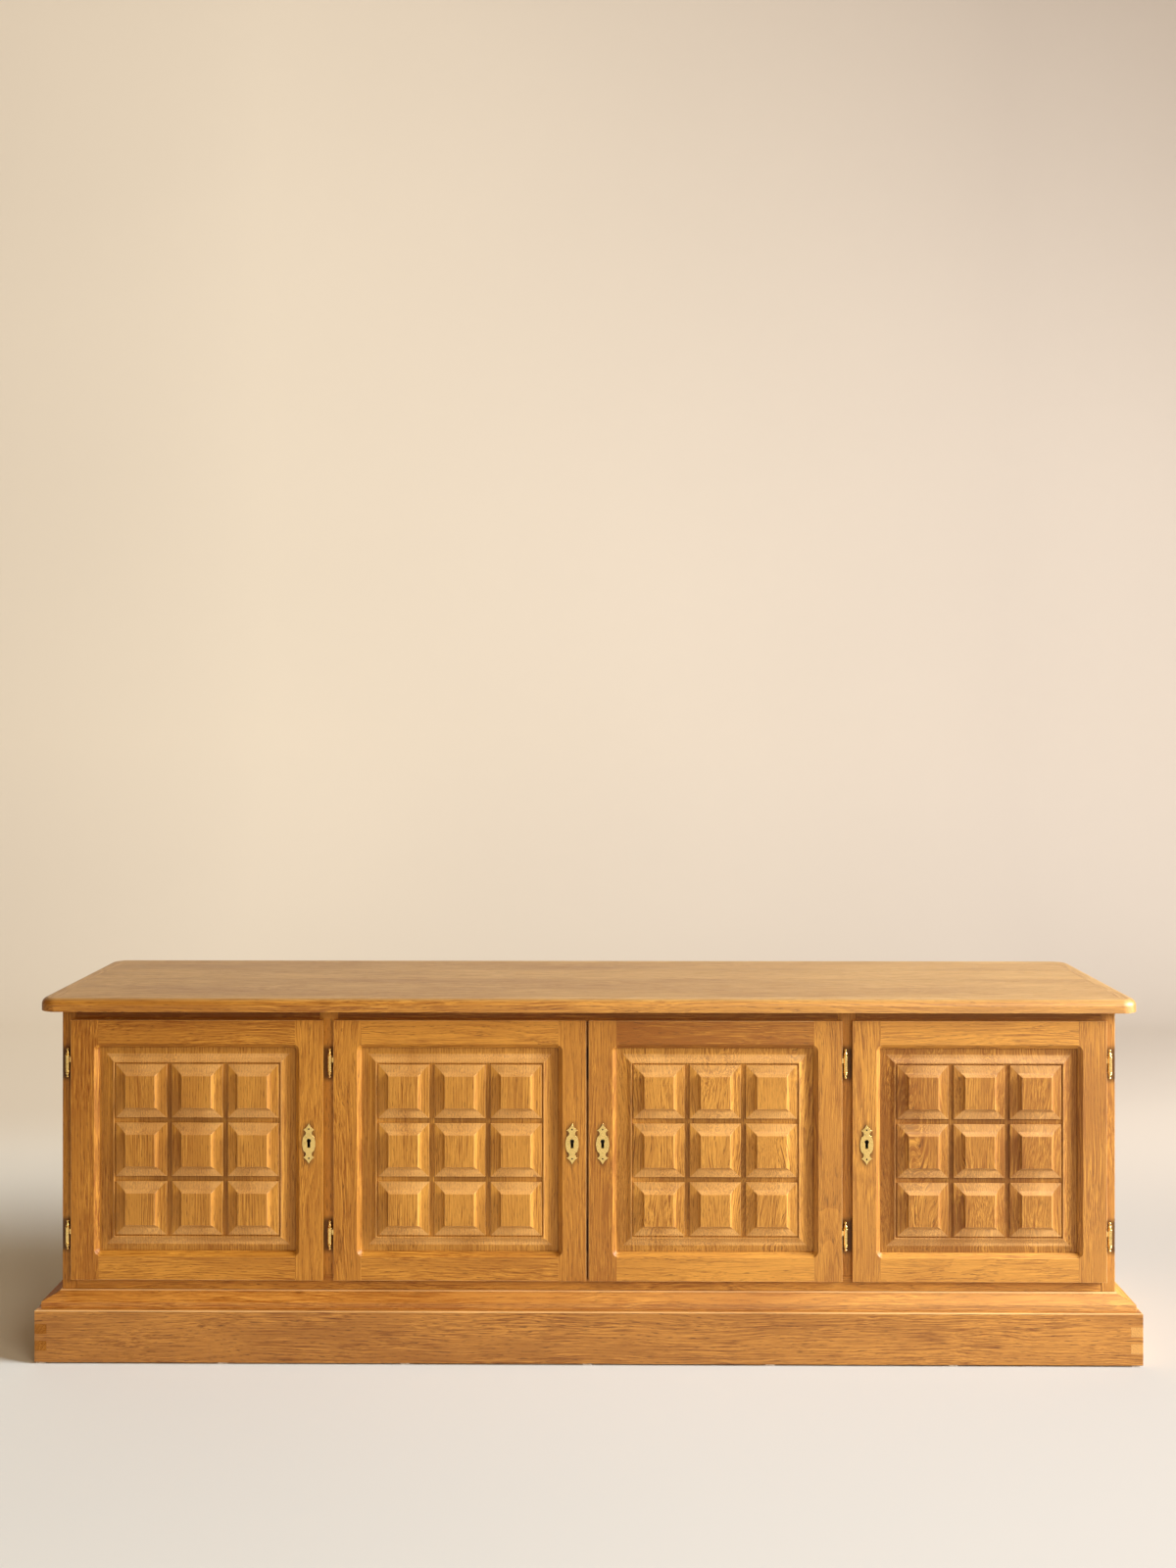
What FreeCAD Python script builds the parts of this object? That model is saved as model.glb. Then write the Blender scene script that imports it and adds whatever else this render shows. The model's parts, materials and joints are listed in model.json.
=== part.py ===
import FreeCAD, Part
import math
import os
import re
import Sketcher

# Oak sideboard with four overlay doors. X runs along the front, Y from the front to the back and Z up.
# The origin is on the floor, below the middle of the plinth. Every driving size is in millimetres.
SIZES = {
    # Carcass boards
    "carcass_width": 2116,
    "carcass_depth": 458,
    "carcass_height": 565,
    "side_thickness": 28,
    "bottom_thickness": 30,
    "top_rail_height": 29,
    "top_rail_depth": 60,
    "partition_thickness": 21,
    "divider_width": 37,
    "divider_depth": 40,
    "back_thickness": 8,
    "rebate_width": 10,
    "housing_depth": 8,
    "housing_stop": 20,
    "tenon_margin": 12,
    "halving_depth": 12,
    # Shelves and their battens
    "shelf_thickness": 18,
    "shelf_clearance": 1,
    "shelf_setback": 6,
    "shelf_height": 250,
    "batten_thickness": 12,
    "batten_height": 20,
    "batten_inset": 15,
    # Top
    "top_thickness": 26,
    "top_overhang": 39,
    "top_corner_radius": 36,
    "top_edge_round": 14,
    "lipping_width": 34,
    # Moulded base frame
    "base_height": 28,
    "base_projection": 32,
    "base_ledge": 10,
    "base_width": 90,
    "base_nose": 13,
    "base_fillet_width": 4,
    "base_fillet_height": 3,
    # Plinth and glides
    "plinth_height": 103,
    "plinth_thickness": 24,
    "tail_height": 14,
    "tail_flare": 2.5,
    "lower_tail": 33,
    "upper_tail": 66,
    "glide_height": 3,
    "glide_width": 18,
    "glide_inset": 12,
    # Doors
    "lip_overlap": 8,
    "lip_thickness": 12,
    "door_clearance": 2,
    "seat_gap": 0.3,
    "inner_thickness": 10,
    "stile_width": 56,
    "rail_width": 56,
    "groove_depth": 10,
    "tongue_thickness": 6,
    "tongue_clearance": 0.2,
    "panel_float": 0.5,
    "sticking_bevel": 9,
    "sticking_corner": 6,
    "sticking_lift": 0.3,
    "cutter_plate": 4,
    # Coffered panels
    "panel_proud": 5,
    "border_flat": 4,
    "border_cove": 24.5,
    "border_hollow": 2.1,
    "ridge_width": 2,
    "ridge_drop": 10,
    "border_groove": 3,
    "tile_groove": 10,
    "tile_wall": 3,
    "tile_slope": 13.5,
    "tile_drop": 3,
    "tile_cove": 8,
    "tile_cove_depth": 7.5,
    "tile_hollow": 1.6,
    # Finial hinges
    "hinge_inset": 88,
    "hinge_offset": 7.7,
    "barrel_radius": 4.2,
    "barrel_length": 15,
    "barrel_gap": 0.3,
    "hinge_pin_radius": 2,
    "hinge_pin_clearance": 0.05,
    "hinge_pin_length": 12,
    "leaf_thickness": 2.5,
    "leaf_height": 10,
    "leaf_level": 7.5,
    "leaf_depth": 22,
    "leaf_clearance": 0.05,
    "finial_height": 8,
    # Key plates, locks and bolts
    "keyhole_lift": 14,
    "plate_thickness": 1.2,
    "plate_half_height": 40.8,
    "plate_disc_bulge": 3.2,
    "plate_waist_half_width": 10,
    "plate_cusp": 15.5,
    "plate_bite_depth": 5.1,
    "plate_ear": 27.2,
    "plate_ear_half_width": 12.2,
    "plate_tip_hollow": 1.6,
    "keyhole_radius": 4.2,
    "keyhole_rise": 5.5,
    "keyhole_slot": 5.5,
    "keyhole_drop": 8,
    "lock_width": 34,
    "lock_height": 60,
    "lock_cover": 2,
    "drill_pin_radius": 1.5,
    "drill_pin_recess": 3,
    "bolt_height": 9,
    "bolt_thickness": 4,
    "bolt_length": 28,
    "bolt_lift": 17,
    "bolt_clearance": 0.3,
    "bolt_recess": 0.5,
    "mortise_depth": 8,
    "mortise_clearance": 1,
}
DOORS = 4
TILES_ACROSS = 3
GLIDES_ALONG = 7
NEAR = 0.001
UP = FreeCAD.Vector(0, 0, 1)
ACROSS = FreeCAD.Vector(1, 0, 0)
INWARD = FreeCAD.Vector(0, 1, 0)
ALIASES = re.compile(r"\b(" + "|".join(SIZES) + r")\b")

# Levels, planes and spans that follow from the driving sizes, written as formulas
PLINTH_WIDTH = "(carcass_width + 2 * (base_projection + base_ledge))"
PLINTH_DEPTH = "(carcass_depth + base_projection + base_ledge)"
HALF_WIDTH = "(carcass_width / 2)"
BACK = f"({PLINTH_DEPTH} / 2)"
FRONT = f"({BACK} - carcass_depth)"
BASE_BOTTOM = "(glide_height + plinth_height)"
CARCASS_BOTTOM = f"({BASE_BOTTOM} + base_height)"
CARCASS_TOP = f"({CARCASS_BOTTOM} + carcass_height)"
FLOOR_OF_BAYS = f"({CARCASS_BOTTOM} + bottom_thickness)"
CEILING = f"({CARCASS_TOP} - top_rail_height)"
SIDE_REVEAL = "(side_thickness - lip_overlap)"
DIVIDER_REVEAL = "(divider_width - 2 * lip_overlap)"
CENTRE_GAP = "(partition_thickness - 2 * lip_overlap)"
DOOR_WIDTH = f"((carcass_width - 2 * {SIDE_REVEAL} - 2 * {DIVIDER_REVEAL} - {CENTRE_GAP}) / 4)"
DIVIDER = f"({CENTRE_GAP} / 2 + {DOOR_WIDTH} + {DIVIDER_REVEAL} / 2)"
DOOR_BOTTOM = f"({FLOOR_OF_BAYS} - lip_overlap)"
DOOR_HEIGHT = f"({CEILING} + lip_overlap - {DOOR_BOTTOM})"
LIP_BACK = f"({FRONT} - seat_gap)"
DOOR_FRONT = f"({LIP_BACK} - lip_thickness)"
DOOR_REBATE = "(lip_overlap + door_clearance)"
DOOR_LEFT = {1: f"(-{HALF_WIDTH} + {SIDE_REVEAL})", 2: f"(-{CENTRE_GAP} / 2 - {DOOR_WIDTH})"}
OPENING_WIDTH = f"({DOOR_WIDTH} - 2 * stile_width)"
OPENING_HEIGHT = f"({DOOR_HEIGHT} - 2 * rail_width)"
KEYHOLE = f"({DOOR_BOTTOM} + {DOOR_HEIGHT} / 2 + keyhole_lift)"

doc = FreeCAD.newDocument("sideboard")
sheet = doc.addObject("Spreadsheet::Sheet", "sizes")
for row, (alias, number) in enumerate(SIZES.items(), start=1):
    sheet.set(f"A{row}", alias)
    sheet.set(f"B{row}", str(number))
    sheet.setAlias(f"B{row}", alias)
doc.recompute()
pieces = {}


def sized(formula):
    """Point each size in a formula to its cell in the sheet."""
    return ALIASES.sub(r"sizes.\1", formula)


def measure(formula):
    """Work a formula out to a plain number."""
    result = sheet.evalExpression(sized(formula))
    return float(getattr(result, "Value", result))


def bind(item, **formulas):
    """Tie properties of an object to formulas; a double underscore stands for a dot."""
    for name, formula in formulas.items():
        item.setExpression(name.replace("__", "."), sized(formula))
    return item


def place(item, x="0", y="0", z="0"):
    """Tie the position of an object to three formulas."""
    return bind(item, Placement__Base__x=x, Placement__Base__y=y, Placement__Base__z=z)


def piece(name, item):
    """Keep an object as a finished sub-part under its own name."""
    item.Label = name
    pieces[name] = item
    return item


def box(x, y, z):
    """A board between two formulas along each axis."""
    board = doc.addObject("Part::Box", "board")
    bind(board, Length=f"{x[1]} - ({x[0]})", Width=f"{y[1]} - ({y[0]})", Height=f"{z[1]} - ({z[0]})")
    return place(board, x[0], y[0], z[0])


def rod(radius, length, start, axis):
    """A round bar that runs from its start along an axis."""
    bar = doc.addObject("Part::Cylinder", "rod")
    bar.Placement.Rotation = FreeCAD.Rotation(UP, axis)
    bind(bar, Radius=radius, Height=length)
    return place(bar, *start)


def cut(base, *tools):
    """Take other objects out of a base, one after the other."""
    for tool in tools:
        result = doc.addObject("Part::Cut", "cut")
        result.Base = base
        result.Tool = tool
        base = result
    return base


def joined(kind, *items):
    """Bring objects together as a MultiFuse, a MultiCommon or a Compound."""
    result = doc.addObject(f"Part::{kind}", kind.lower())
    if kind == "Compound":
        result.Links = list(items)
    else:
        result.Shapes = list(items)
    return result


def mirrored(item):
    """The same object on the other side of the middle plane."""
    twin = doc.addObject("Part::Mirroring", "twin")
    twin.Source = item
    twin.Normal = ACROSS
    return twin


def new_body(x="0", y="0", z="0"):
    return place(doc.addObject("PartDesign::Body", "body"), x, y, z)


def new_sketch(body, role, *outlines, offset="0"):
    """A sketch on an origin plane of its body, with one closed outline or more."""
    sketch = body.newObject("Sketcher::SketchObject", "sketch")
    planes = {feature.Role: feature for feature in body.Origin.OriginFeatures}
    sketch.AttachmentSupport = (planes[role], "")
    sketch.MapMode = "FlatFace"
    bind(sketch, AttachmentOffset__Base__z=offset)
    for corners in outlines:
        draw_outline(sketch, corners)
    return sketch


def bent_edge(start, end, radius, side):
    """An arc of under a half circle that leaves the straight line to its left, 1, or right, -1."""
    chord = end - start
    sag = radius - math.sqrt(radius ** 2 - (chord.Length / 2) ** 2)
    across = FreeCAD.Vector(-chord.y, chord.x, 0).normalize()
    return Part.Arc(start, (start + end) / 2 + across * (side * sag), end)


def draw_outline(sketch, corners):
    """Draw a closed outline. A corner is (x, y), or (x, y, radius, side) where a bent edge leaves it."""
    points = [FreeCAD.Vector(measure(corner[0]), measure(corner[1]), 0) for corner in corners]
    ends = []
    for index, corner in enumerate(corners):
        start = points[index]
        end = points[(index + 1) % len(points)]
        if len(corner) == 2:
            edge = sketch.addGeometry(Part.LineSegment(start, end))
        else:
            edge = sketch.addGeometry(bent_edge(start, end, measure(corner[2]), corner[3]))
        forward = (sketch.getPoint(edge, 1) - start).Length < (sketch.getPoint(edge, 2) - start).Length
        ends.append((edge, 1, 2) if forward else (edge, 2, 1))
    rules = []
    formulas = []
    for index, corner in enumerate(corners):
        edge, first, last = ends[index]
        after = ends[(index + 1) % len(ends)]
        rules.append(Sketcher.Constraint("Coincident", edge, last, after[0], after[1]))
        formulas.append(None)
        for kind, axis, formula, number in (
            ("DistanceX", -2, corner[0], points[index].x),
            ("DistanceY", -1, corner[1], points[index].y),
        ):
            if formula == "0":
                rules.append(Sketcher.Constraint("PointOnObject", edge, first, axis))
                formulas.append(None)
            else:
                rules.append(Sketcher.Constraint(kind, -1, 1, edge, first, number))
                formulas.append(formula)
        if len(corner) > 2:
            rules.append(Sketcher.Constraint("Radius", edge, measure(corner[2])))
            formulas.append(corner[2])
    start_index = sketch.ConstraintCount
    sketch.addConstraint(rules)
    for index, formula in enumerate(formulas, start=start_index):
        if formula:
            sketch.setExpression(f"Constraints[{index}]", sized(formula))


def feature(body, kind, sketch, length, backward=False):
    """A Pad or a Pocket of a sketch, to a length."""
    result = body.newObject(f"PartDesign::{kind}", kind.lower())
    result.Profile = sketch
    result.Reversed = backward
    return bind(result, Length=length)


def prism(corners, length, role="XY_Plane", backward=False, at=("0", "0", "0")):
    """A body of one outline, carried straight to a length."""
    body = new_body(*at)
    feature(body, "Pad", new_sketch(body, role, corners), length, backward)
    return body


def turned(corners, role, at):
    """A body of one outline, turned once round its upright axis from the given plane."""
    body = new_body(*at)
    sketch = new_sketch(body, role, corners)
    result = body.newObject("PartDesign::Revolution", "revolution")
    result.Profile = sketch
    result.ReferenceAxis = (sketch, ["V_Axis"])
    return body


def dress_up(body, kind, base, names, **size):
    """A Fillet or a Chamfer on named edges or faces of the last feature of a body."""
    result = body.newObject(f"PartDesign::{kind}", kind.lower())
    result.Base = (base, names)
    return bind(result, **size)


def around(centre, half):
    """The span that reaches equally far on both sides of a centre."""
    return f"{centre} - {half}", f"{centre} + {half}"


def bulge(across, along, rise):
    """The radius of an arc between two points so far apart, from how far it leaves the straight line."""
    return f"((({across})^2 + ({along})^2) / (8 * {rise}) + {rise} / 2)"


def rounded_rectangle(left, low, width, height, radius):
    """The corners of a rectangle with round corners, as an outline."""
    right = f"{left} + {width}"
    high = f"{low} + {height}"
    return [
        (f"{left} + {radius}", low),
        (f"{right} - {radius}", low, radius, -1),
        (right, f"{low} + {radius}"),
        (right, f"{high} - {radius}", radius, -1),
        (f"{right} - {radius}", high),
        (f"{left} + {radius}", high, radius, -1),
        (left, f"{high} - {radius}"),
        (left, f"{low} + {radius}", radius, -1),
    ]


def make_top():
    """One slab with round corners and a rounded edge, sawn into a field and four mitred lippings."""
    width = "(carcass_width + 2 * top_overhang)"
    depth = "(carcass_depth + top_overhang)"
    corner = (f"-{width} / 2", f"{FRONT} - top_overhang", CARCASS_TOP)
    slab = new_body(*corner)
    outline = rounded_rectangle("0", "0", width, depth, "top_corner_radius")
    pad = feature(slab, "Pad", new_sketch(slab, "XY_Plane", outline), "top_thickness")
    doc.recompute()
    levels = [face.CenterOfMass.z for face in pad.Shape.Faces]
    highest = f"Face{levels.index(max(levels)) + 1}"
    dress_up(slab, "Fillet", pad, [highest], Radius="top_edge_round")
    near = "lipping_width"
    far = f"({width} - lipping_width)"
    deep = f"({depth} - lipping_width)"
    plans = {
        "top_field": [(near, near), (far, near), (far, deep), (near, deep)],
        "top_front_lipping": [("0", "0"), (width, "0"), (far, near), (near, near)],
        "top_back_lipping": [("0", depth), (near, deep), (far, deep), (width, depth)],
        "top_left_lipping": [("0", "0"), (near, near), (near, deep), ("0", depth)],
        "top_right_lipping": [(width, "0"), (width, depth), (far, deep), (far, near)],
    }
    for name, plan in plans.items():
        piece(name, joined("MultiCommon", slab, prism(plan, "top_thickness", at=corner)))


def make_base():
    """A moulded frame that lies on the plinth: a nose, a bevel and a fillet, mitred in front."""
    half = f"({HALF_WIDTH} + base_projection)"
    nose = f"({FRONT} - base_projection)"
    depth = "(carcass_depth + base_projection)"
    corner = (f"-{half}", nose, BASE_BOTTOM)
    shoulder = "base_projection - base_fillet_width"
    profile = [
        ("0", "0"),
        ("0", "base_nose"),
        (shoulder, "base_height - base_fillet_height"),
        (shoulder, "base_height"),
        ("base_width", "base_height"),
        ("base_width", "0"),
    ]
    width = f"2 * {half}"
    inner = f"({width} - base_width)"
    front_plan = [("0", "0"), (width, "0"), (inner, "base_width"), ("base_width", "base_width")]
    left_plan = [("0", "0"), ("base_width", "base_width"), ("base_width", depth), ("0", depth)]
    front = prism(profile, width, "YZ_Plane", at=corner)
    left = prism(profile, depth, "XZ_Plane", backward=True, at=corner)
    piece("base_front", joined("MultiCommon", front, prism(front_plan, "base_height", at=corner)))
    base_left = piece("base_left", joined("MultiCommon", left, prism(left_plan, "base_height", at=corner)))
    piece("base_right", mirrored(base_left))
    inside = f"({half} - base_width)"
    piece(
        "base_back",
        box((f"-{inside}", inside), (f"{BACK} - base_width", BACK), (BASE_BOTTOM, CARCASS_BOTTOM)),
    )


def make_plinth():
    """Four boards on edge and their glides; the tails of the end boards show in the front board."""
    half = f"({PLINTH_WIDTH} / 2)"
    shoulder = "plinth_thickness"
    corners = [
        (shoulder, "0"),
        (PLINTH_DEPTH, "0"),
        (PLINTH_DEPTH, "plinth_height"),
        (shoulder, "plinth_height"),
    ]
    for tail in ("upper_tail", "lower_tail"):
        corners += [
            (shoulder, f"{tail} + tail_height / 2"),
            ("0", f"{tail} + tail_height / 2 + tail_flare"),
            ("0", f"{tail} - tail_height / 2 - tail_flare"),
            (shoulder, f"{tail} - tail_height / 2"),
        ]
    at = (f"-{half}", f"-{BACK}", "glide_height")
    left = piece("plinth_left", prism(corners, "plinth_thickness", "YZ_Plane", at=at))
    right = piece("plinth_right", mirrored(left))
    rise = ("glide_height", BASE_BOTTOM)
    front = box((f"-{half}", half), (f"-{BACK}", f"-{BACK} + plinth_thickness"), rise)
    piece("plinth_front", cut(front, left, right))
    inside = f"({half} - plinth_thickness)"
    piece("plinth_back", box((f"-{inside}", inside), (f"{BACK} - plinth_thickness", BACK), rise))
    glides = []
    step = f"(({PLINTH_WIDTH} - 2 * glide_inset) / {GLIDES_ALONG - 1})"
    for index in range(GLIDES_ALONG):
        along = around(f"-{half} + glide_inset + {index} * {step}", "glide_width / 2")
        for y in (f"-{BACK} + glide_inset", f"{BACK} - glide_inset"):
            glides.append(box(along, around(y, "glide_width / 2"), ("0", "glide_height")))
    piece("glides", joined("Compound", *glides))


def make_hinge(door, from_bottom):
    """One finial hinge: its door half, its frame half with the pin, and the mortises for their leaves."""
    x = f"({DOOR_LEFT[door]} - hinge_offset)"
    y = f"({LIP_BACK} - lip_thickness / 2)"
    split = f"({DOOR_BOTTOM} + {from_bottom})"
    bore = "(hinge_pin_radius + hinge_pin_clearance)"
    tip = "(barrel_length + finial_height)"
    bore_end = "hinge_pin_length + barrel_gap"
    upper_profile = [
        (bore, "0"),
        ("barrel_radius", "0"),
        ("barrel_radius", "barrel_length"),
        ("0", tip),
        ("0", bore_end),
        (bore, bore_end),
    ]
    pin_top = f"{tip} + hinge_pin_length"
    lower_profile = [
        ("0", "0"),
        ("barrel_radius", "finial_height"),
        ("barrel_radius", tip),
        ("hinge_pin_radius", tip),
        ("hinge_pin_radius", pin_top),
        ("0", pin_top),
    ]
    above = f"{split} + barrel_gap / 2"
    below = f"{split} - barrel_gap / 2"
    upper = turned(upper_profile, "YZ_Plane", (x, y, above))
    lower = turned(lower_profile, "XZ_Plane", (x, y, f"{below} - {tip}"))
    wall = f"(({bore} + barrel_radius) / 2)"
    door_reach = f"{x} + hinge_offset + leaf_depth"
    frame_reach = f"{FRONT} + leaf_depth"

    def leaves(clearance):
        """A flat leaf for each half, or its mortise with a clearance on its sides and edges."""
        half = f"(leaf_thickness / 2 + {clearance})"
        rise = f"(leaf_height / 2 + {clearance})"
        upper_rise = around(f"{above} + leaf_level", rise)
        lower_rise = around(f"{below} - leaf_level", rise)
        return (
            box((f"{x} + {wall}", door_reach), around(y, half), upper_rise),
            box(around(x, half), (f"{y} + {wall}", frame_reach), lower_rise),
        )

    door_leaf, frame_leaf = leaves("0")
    door_half = joined("MultiFuse", upper, door_leaf)
    frame_half = joined("MultiFuse", lower, frame_leaf)
    return door_half, frame_half, *leaves("leaf_clearance")


def make_sticking_cutter(left):
    """The waste that a bevelling bit takes from the inner front edge of a door frame, with round corners."""
    margin = "(2 * sticking_bevel)"
    width = f"({OPENING_WIDTH} + 2 * {margin})"
    height = f"({OPENING_HEIGHT} + 2 * {margin})"
    at = (
        f"{left} + stile_width - {margin}",
        f"{DOOR_FRONT} - sticking_lift",
        f"{DOOR_BOTTOM} + rail_width - {margin}",
    )
    plate = [("0", "0"), (width, "0"), (width, height), ("0", height)]
    cutter = prism(plate, "cutter_plate", "XZ_Plane", at=at)
    core = rounded_rectangle(margin, margin, OPENING_WIDTH, OPENING_HEIGHT, "sticking_corner")
    pad = feature(cutter, "Pad", new_sketch(cutter, "XZ_Plane", core), margin, backward=True)
    doc.recompute()
    whole = pad.Shape.BoundBox
    foot = []
    for index, edge in enumerate(pad.Shape.Edges, start=1):
        extent = edge.BoundBox
        on_plate = abs(extent.YMax) + abs(extent.YMin) < NEAR
        inside = extent.XMin > whole.XMin + NEAR and extent.XMax < whole.XMax - NEAR
        if on_plate and inside:
            foot.append(f"Edge{index}")
    dress_up(cutter, "Chamfer", pad, foot, Size="sticking_bevel")
    return cutter


def panel_sections(span, reach):
    """Outlines of the waste in a section across a panel: its two borders, and the cuts round its fields.

    A corner is (distance across, depth behind the fields), with the radius and side of a bent edge.
    """
    shoulder = "(lip_thickness + panel_proud)"
    flat = f"({reach} + border_flat)"
    ridge = f"({flat} + border_cove)"
    grid = f"({ridge} + ridge_width)"
    near_border = [
        ("0", "0"),
        ("0", shoulder),
        (reach, shoulder),
        (flat, shoulder, bulge("border_cove", f"{shoulder} - ridge_drop", "border_hollow"), 1),
        (ridge, "ridge_drop"),
        (grid, "ridge_drop"),
        (grid, "0"),
    ]
    far_border = [(f"{span} - {corner[0]}", *corner[1:3], -1)[: len(corner)] for corner in near_border]
    tile = f"(({span} - 2 * ({grid} + border_groove) - {TILES_ACROSS - 1} * tile_groove) / {TILES_ACROSS})"
    edge = "(tile_cove_depth + tile_drop)"
    floor = f"({edge} + tile_wall)"

    def rise(start, direction):
        """From a tile's edge up its slope and cove to its field, away from or towards the near border."""
        sign = "+" if direction > 0 else "-"
        foot = f"{start} {sign} tile_slope"
        return [
            (start, floor),
            (start, edge),
            (foot, "tile_cove_depth", bulge("tile_cove", "tile_cove_depth", "tile_hollow"), direction),
            (f"{foot} {sign} tile_cove", "0"),
        ]

    first = f"({grid} + border_groove)"
    fields = [[(grid, "0"), (grid, floor), *rise(first, 1)]]
    for index in range(1, TILES_ACROSS):
        low = f"({first} + {index} * {tile} + {index - 1} * tile_groove)"
        fields.append(fall(rise(low, -1)) + rise(f"({low} + tile_groove)", 1))
    last = f"({span} - {first})"
    fields.append(fall(rise(last, -1)) + [(f"{span} - {grid}", floor), (f"{span} - {grid}", "0")])
    return [near_border, far_border], fields, grid


def fall(corners):
    """The same run of corners in the other direction, with each bent edge kept."""
    backward = []
    for corner, before in zip(reversed(corners), list(reversed(corners))[1:] + [()]):
        bend = (before[2], -before[3]) if len(before) > 2 else ()
        backward.append((corner[0], corner[1], *bend))
    return backward


def crossed(outlines):
    """The same outlines with their axes exchanged."""
    result = []
    for corners in outlines:
        result.append([(c[1], c[0], *((c[2], -c[3]) if len(c) > 2 else ())) for c in corners])
    return result


def make_panel(left):
    """A coffered panel: a coved border and ridge round three rows of three raised, coved fields."""
    reach = "(groove_depth - panel_float)"
    width = f"({OPENING_WIDTH} + 2 * {reach})"
    height = f"({OPENING_HEIGHT} + 2 * {reach})"
    thickness = "panel_proud + lip_thickness + tongue_thickness"
    at = (
        f"{left} + stile_width - {reach}",
        f"{DOOR_FRONT} - panel_proud",
        f"{DOOR_BOTTOM} + rail_width - {reach}",
    )
    board = [("0", "0"), (width, "0"), (width, height), ("0", height)]
    panel = prism(board, thickness, "XZ_Plane", backward=True, at=at)
    borders, columns, grid = panel_sections(width, reach)
    feature(panel, "Pocket", new_sketch(panel, "XY_Plane", *borders), height, backward=True)
    sketch = new_sketch(panel, "XY_Plane", *columns, offset=grid)
    feature(panel, "Pocket", sketch, f"{height} - 2 * {grid}", backward=True)
    borders, rows, grid = panel_sections(height, reach)
    feature(panel, "Pocket", new_sketch(panel, "YZ_Plane", *crossed(borders)), width, backward=True)
    sketch = new_sketch(panel, "YZ_Plane", *crossed(rows), offset=grid)
    feature(panel, "Pocket", sketch, f"{width} - 2 * {grid}", backward=True)
    return panel


def make_key_plate(keyhole_x):
    """A brass key plate: a long disc between two eared, hollow-sided tips, in one thickness of sheet."""
    middle = "(2 * plate_ear_half_width)"
    level = "plate_half_height"
    ear = "plate_ear_half_width - plate_waist_half_width"
    bite = bulge(ear, "plate_ear - plate_cusp", "plate_bite_depth")
    disc = bulge("0", "2 * plate_cusp", "plate_disc_bulge")
    tip = bulge("plate_ear_half_width", "plate_half_height - plate_ear", "plate_tip_hollow")
    outline = [
        (middle, "0", tip, 1),
        (f"{middle} + plate_ear_half_width", f"{level} - plate_ear", bite, 1),
        (f"{middle} + plate_waist_half_width", f"{level} - plate_cusp", disc, -1),
        (f"{middle} + plate_waist_half_width", f"{level} + plate_cusp", bite, 1),
        (f"{middle} + plate_ear_half_width", f"{level} + plate_ear", tip, 1),
        (middle, f"2 * {level}", tip, 1),
        (f"{middle} - plate_ear_half_width", f"{level} + plate_ear", bite, 1),
        (f"{middle} - plate_waist_half_width", f"{level} + plate_cusp", disc, -1),
        (f"{middle} - plate_waist_half_width", f"{level} - plate_cusp", bite, 1),
        (f"{middle} - plate_ear_half_width", f"{level} - plate_ear", tip, 1),
    ]
    at = (f"{keyhole_x} - {middle}", DOOR_FRONT, f"{KEYHOLE} - {level}")
    return prism(outline, "plate_thickness", "XZ_Plane", at=at)


def make_lock(edge, keyhole_x):
    """A lock let into the back of a stile: its case, its bolt, its recess and the bolt's mortise."""
    case_back = f"({LIP_BACK} + inner_thickness)"
    case_span = ((f"{edge} - lock_width", edge), (f"{LIP_BACK} + lock_cover", case_back))
    case_rise = around(KEYHOLE, "lock_height / 2")
    bolt_y = f"(({LIP_BACK} + lock_cover + {case_back}) / 2)"
    bolt_z = f"({KEYHOLE} + bolt_lift)"
    bolt_tip = f"({edge} - bolt_recess)"
    bolt_heel = f"({bolt_tip} - bolt_length)"
    bolt = box(
        (bolt_heel, bolt_tip),
        around(bolt_y, "bolt_thickness / 2"),
        around(bolt_z, "bolt_height / 2"),
    )
    channel = box(
        (f"{bolt_heel} - bolt_clearance", edge),
        around(bolt_y, "(bolt_thickness / 2 + bolt_clearance)"),
        around(bolt_z, "(bolt_height / 2 + bolt_clearance)"),
    )
    wall = f"({edge} + door_clearance)"
    mortise = box(
        (wall, f"{wall} + mortise_depth"),
        around(bolt_y, "(bolt_thickness / 2 + mortise_clearance)"),
        around(bolt_z, "(bolt_height / 2 + mortise_clearance)"),
    )
    pin_start = (keyhole_x, f"{DOOR_FRONT} + drill_pin_recess", f"{KEYHOLE} + keyhole_rise")
    pin = rod("drill_pin_radius", "lip_thickness + lock_cover - drill_pin_recess", pin_start, INWARD)
    case = joined("MultiFuse", cut(box(*case_span, case_rise), channel), pin)
    return case, bolt, box(*case_span, case_rise), mortise


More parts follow.
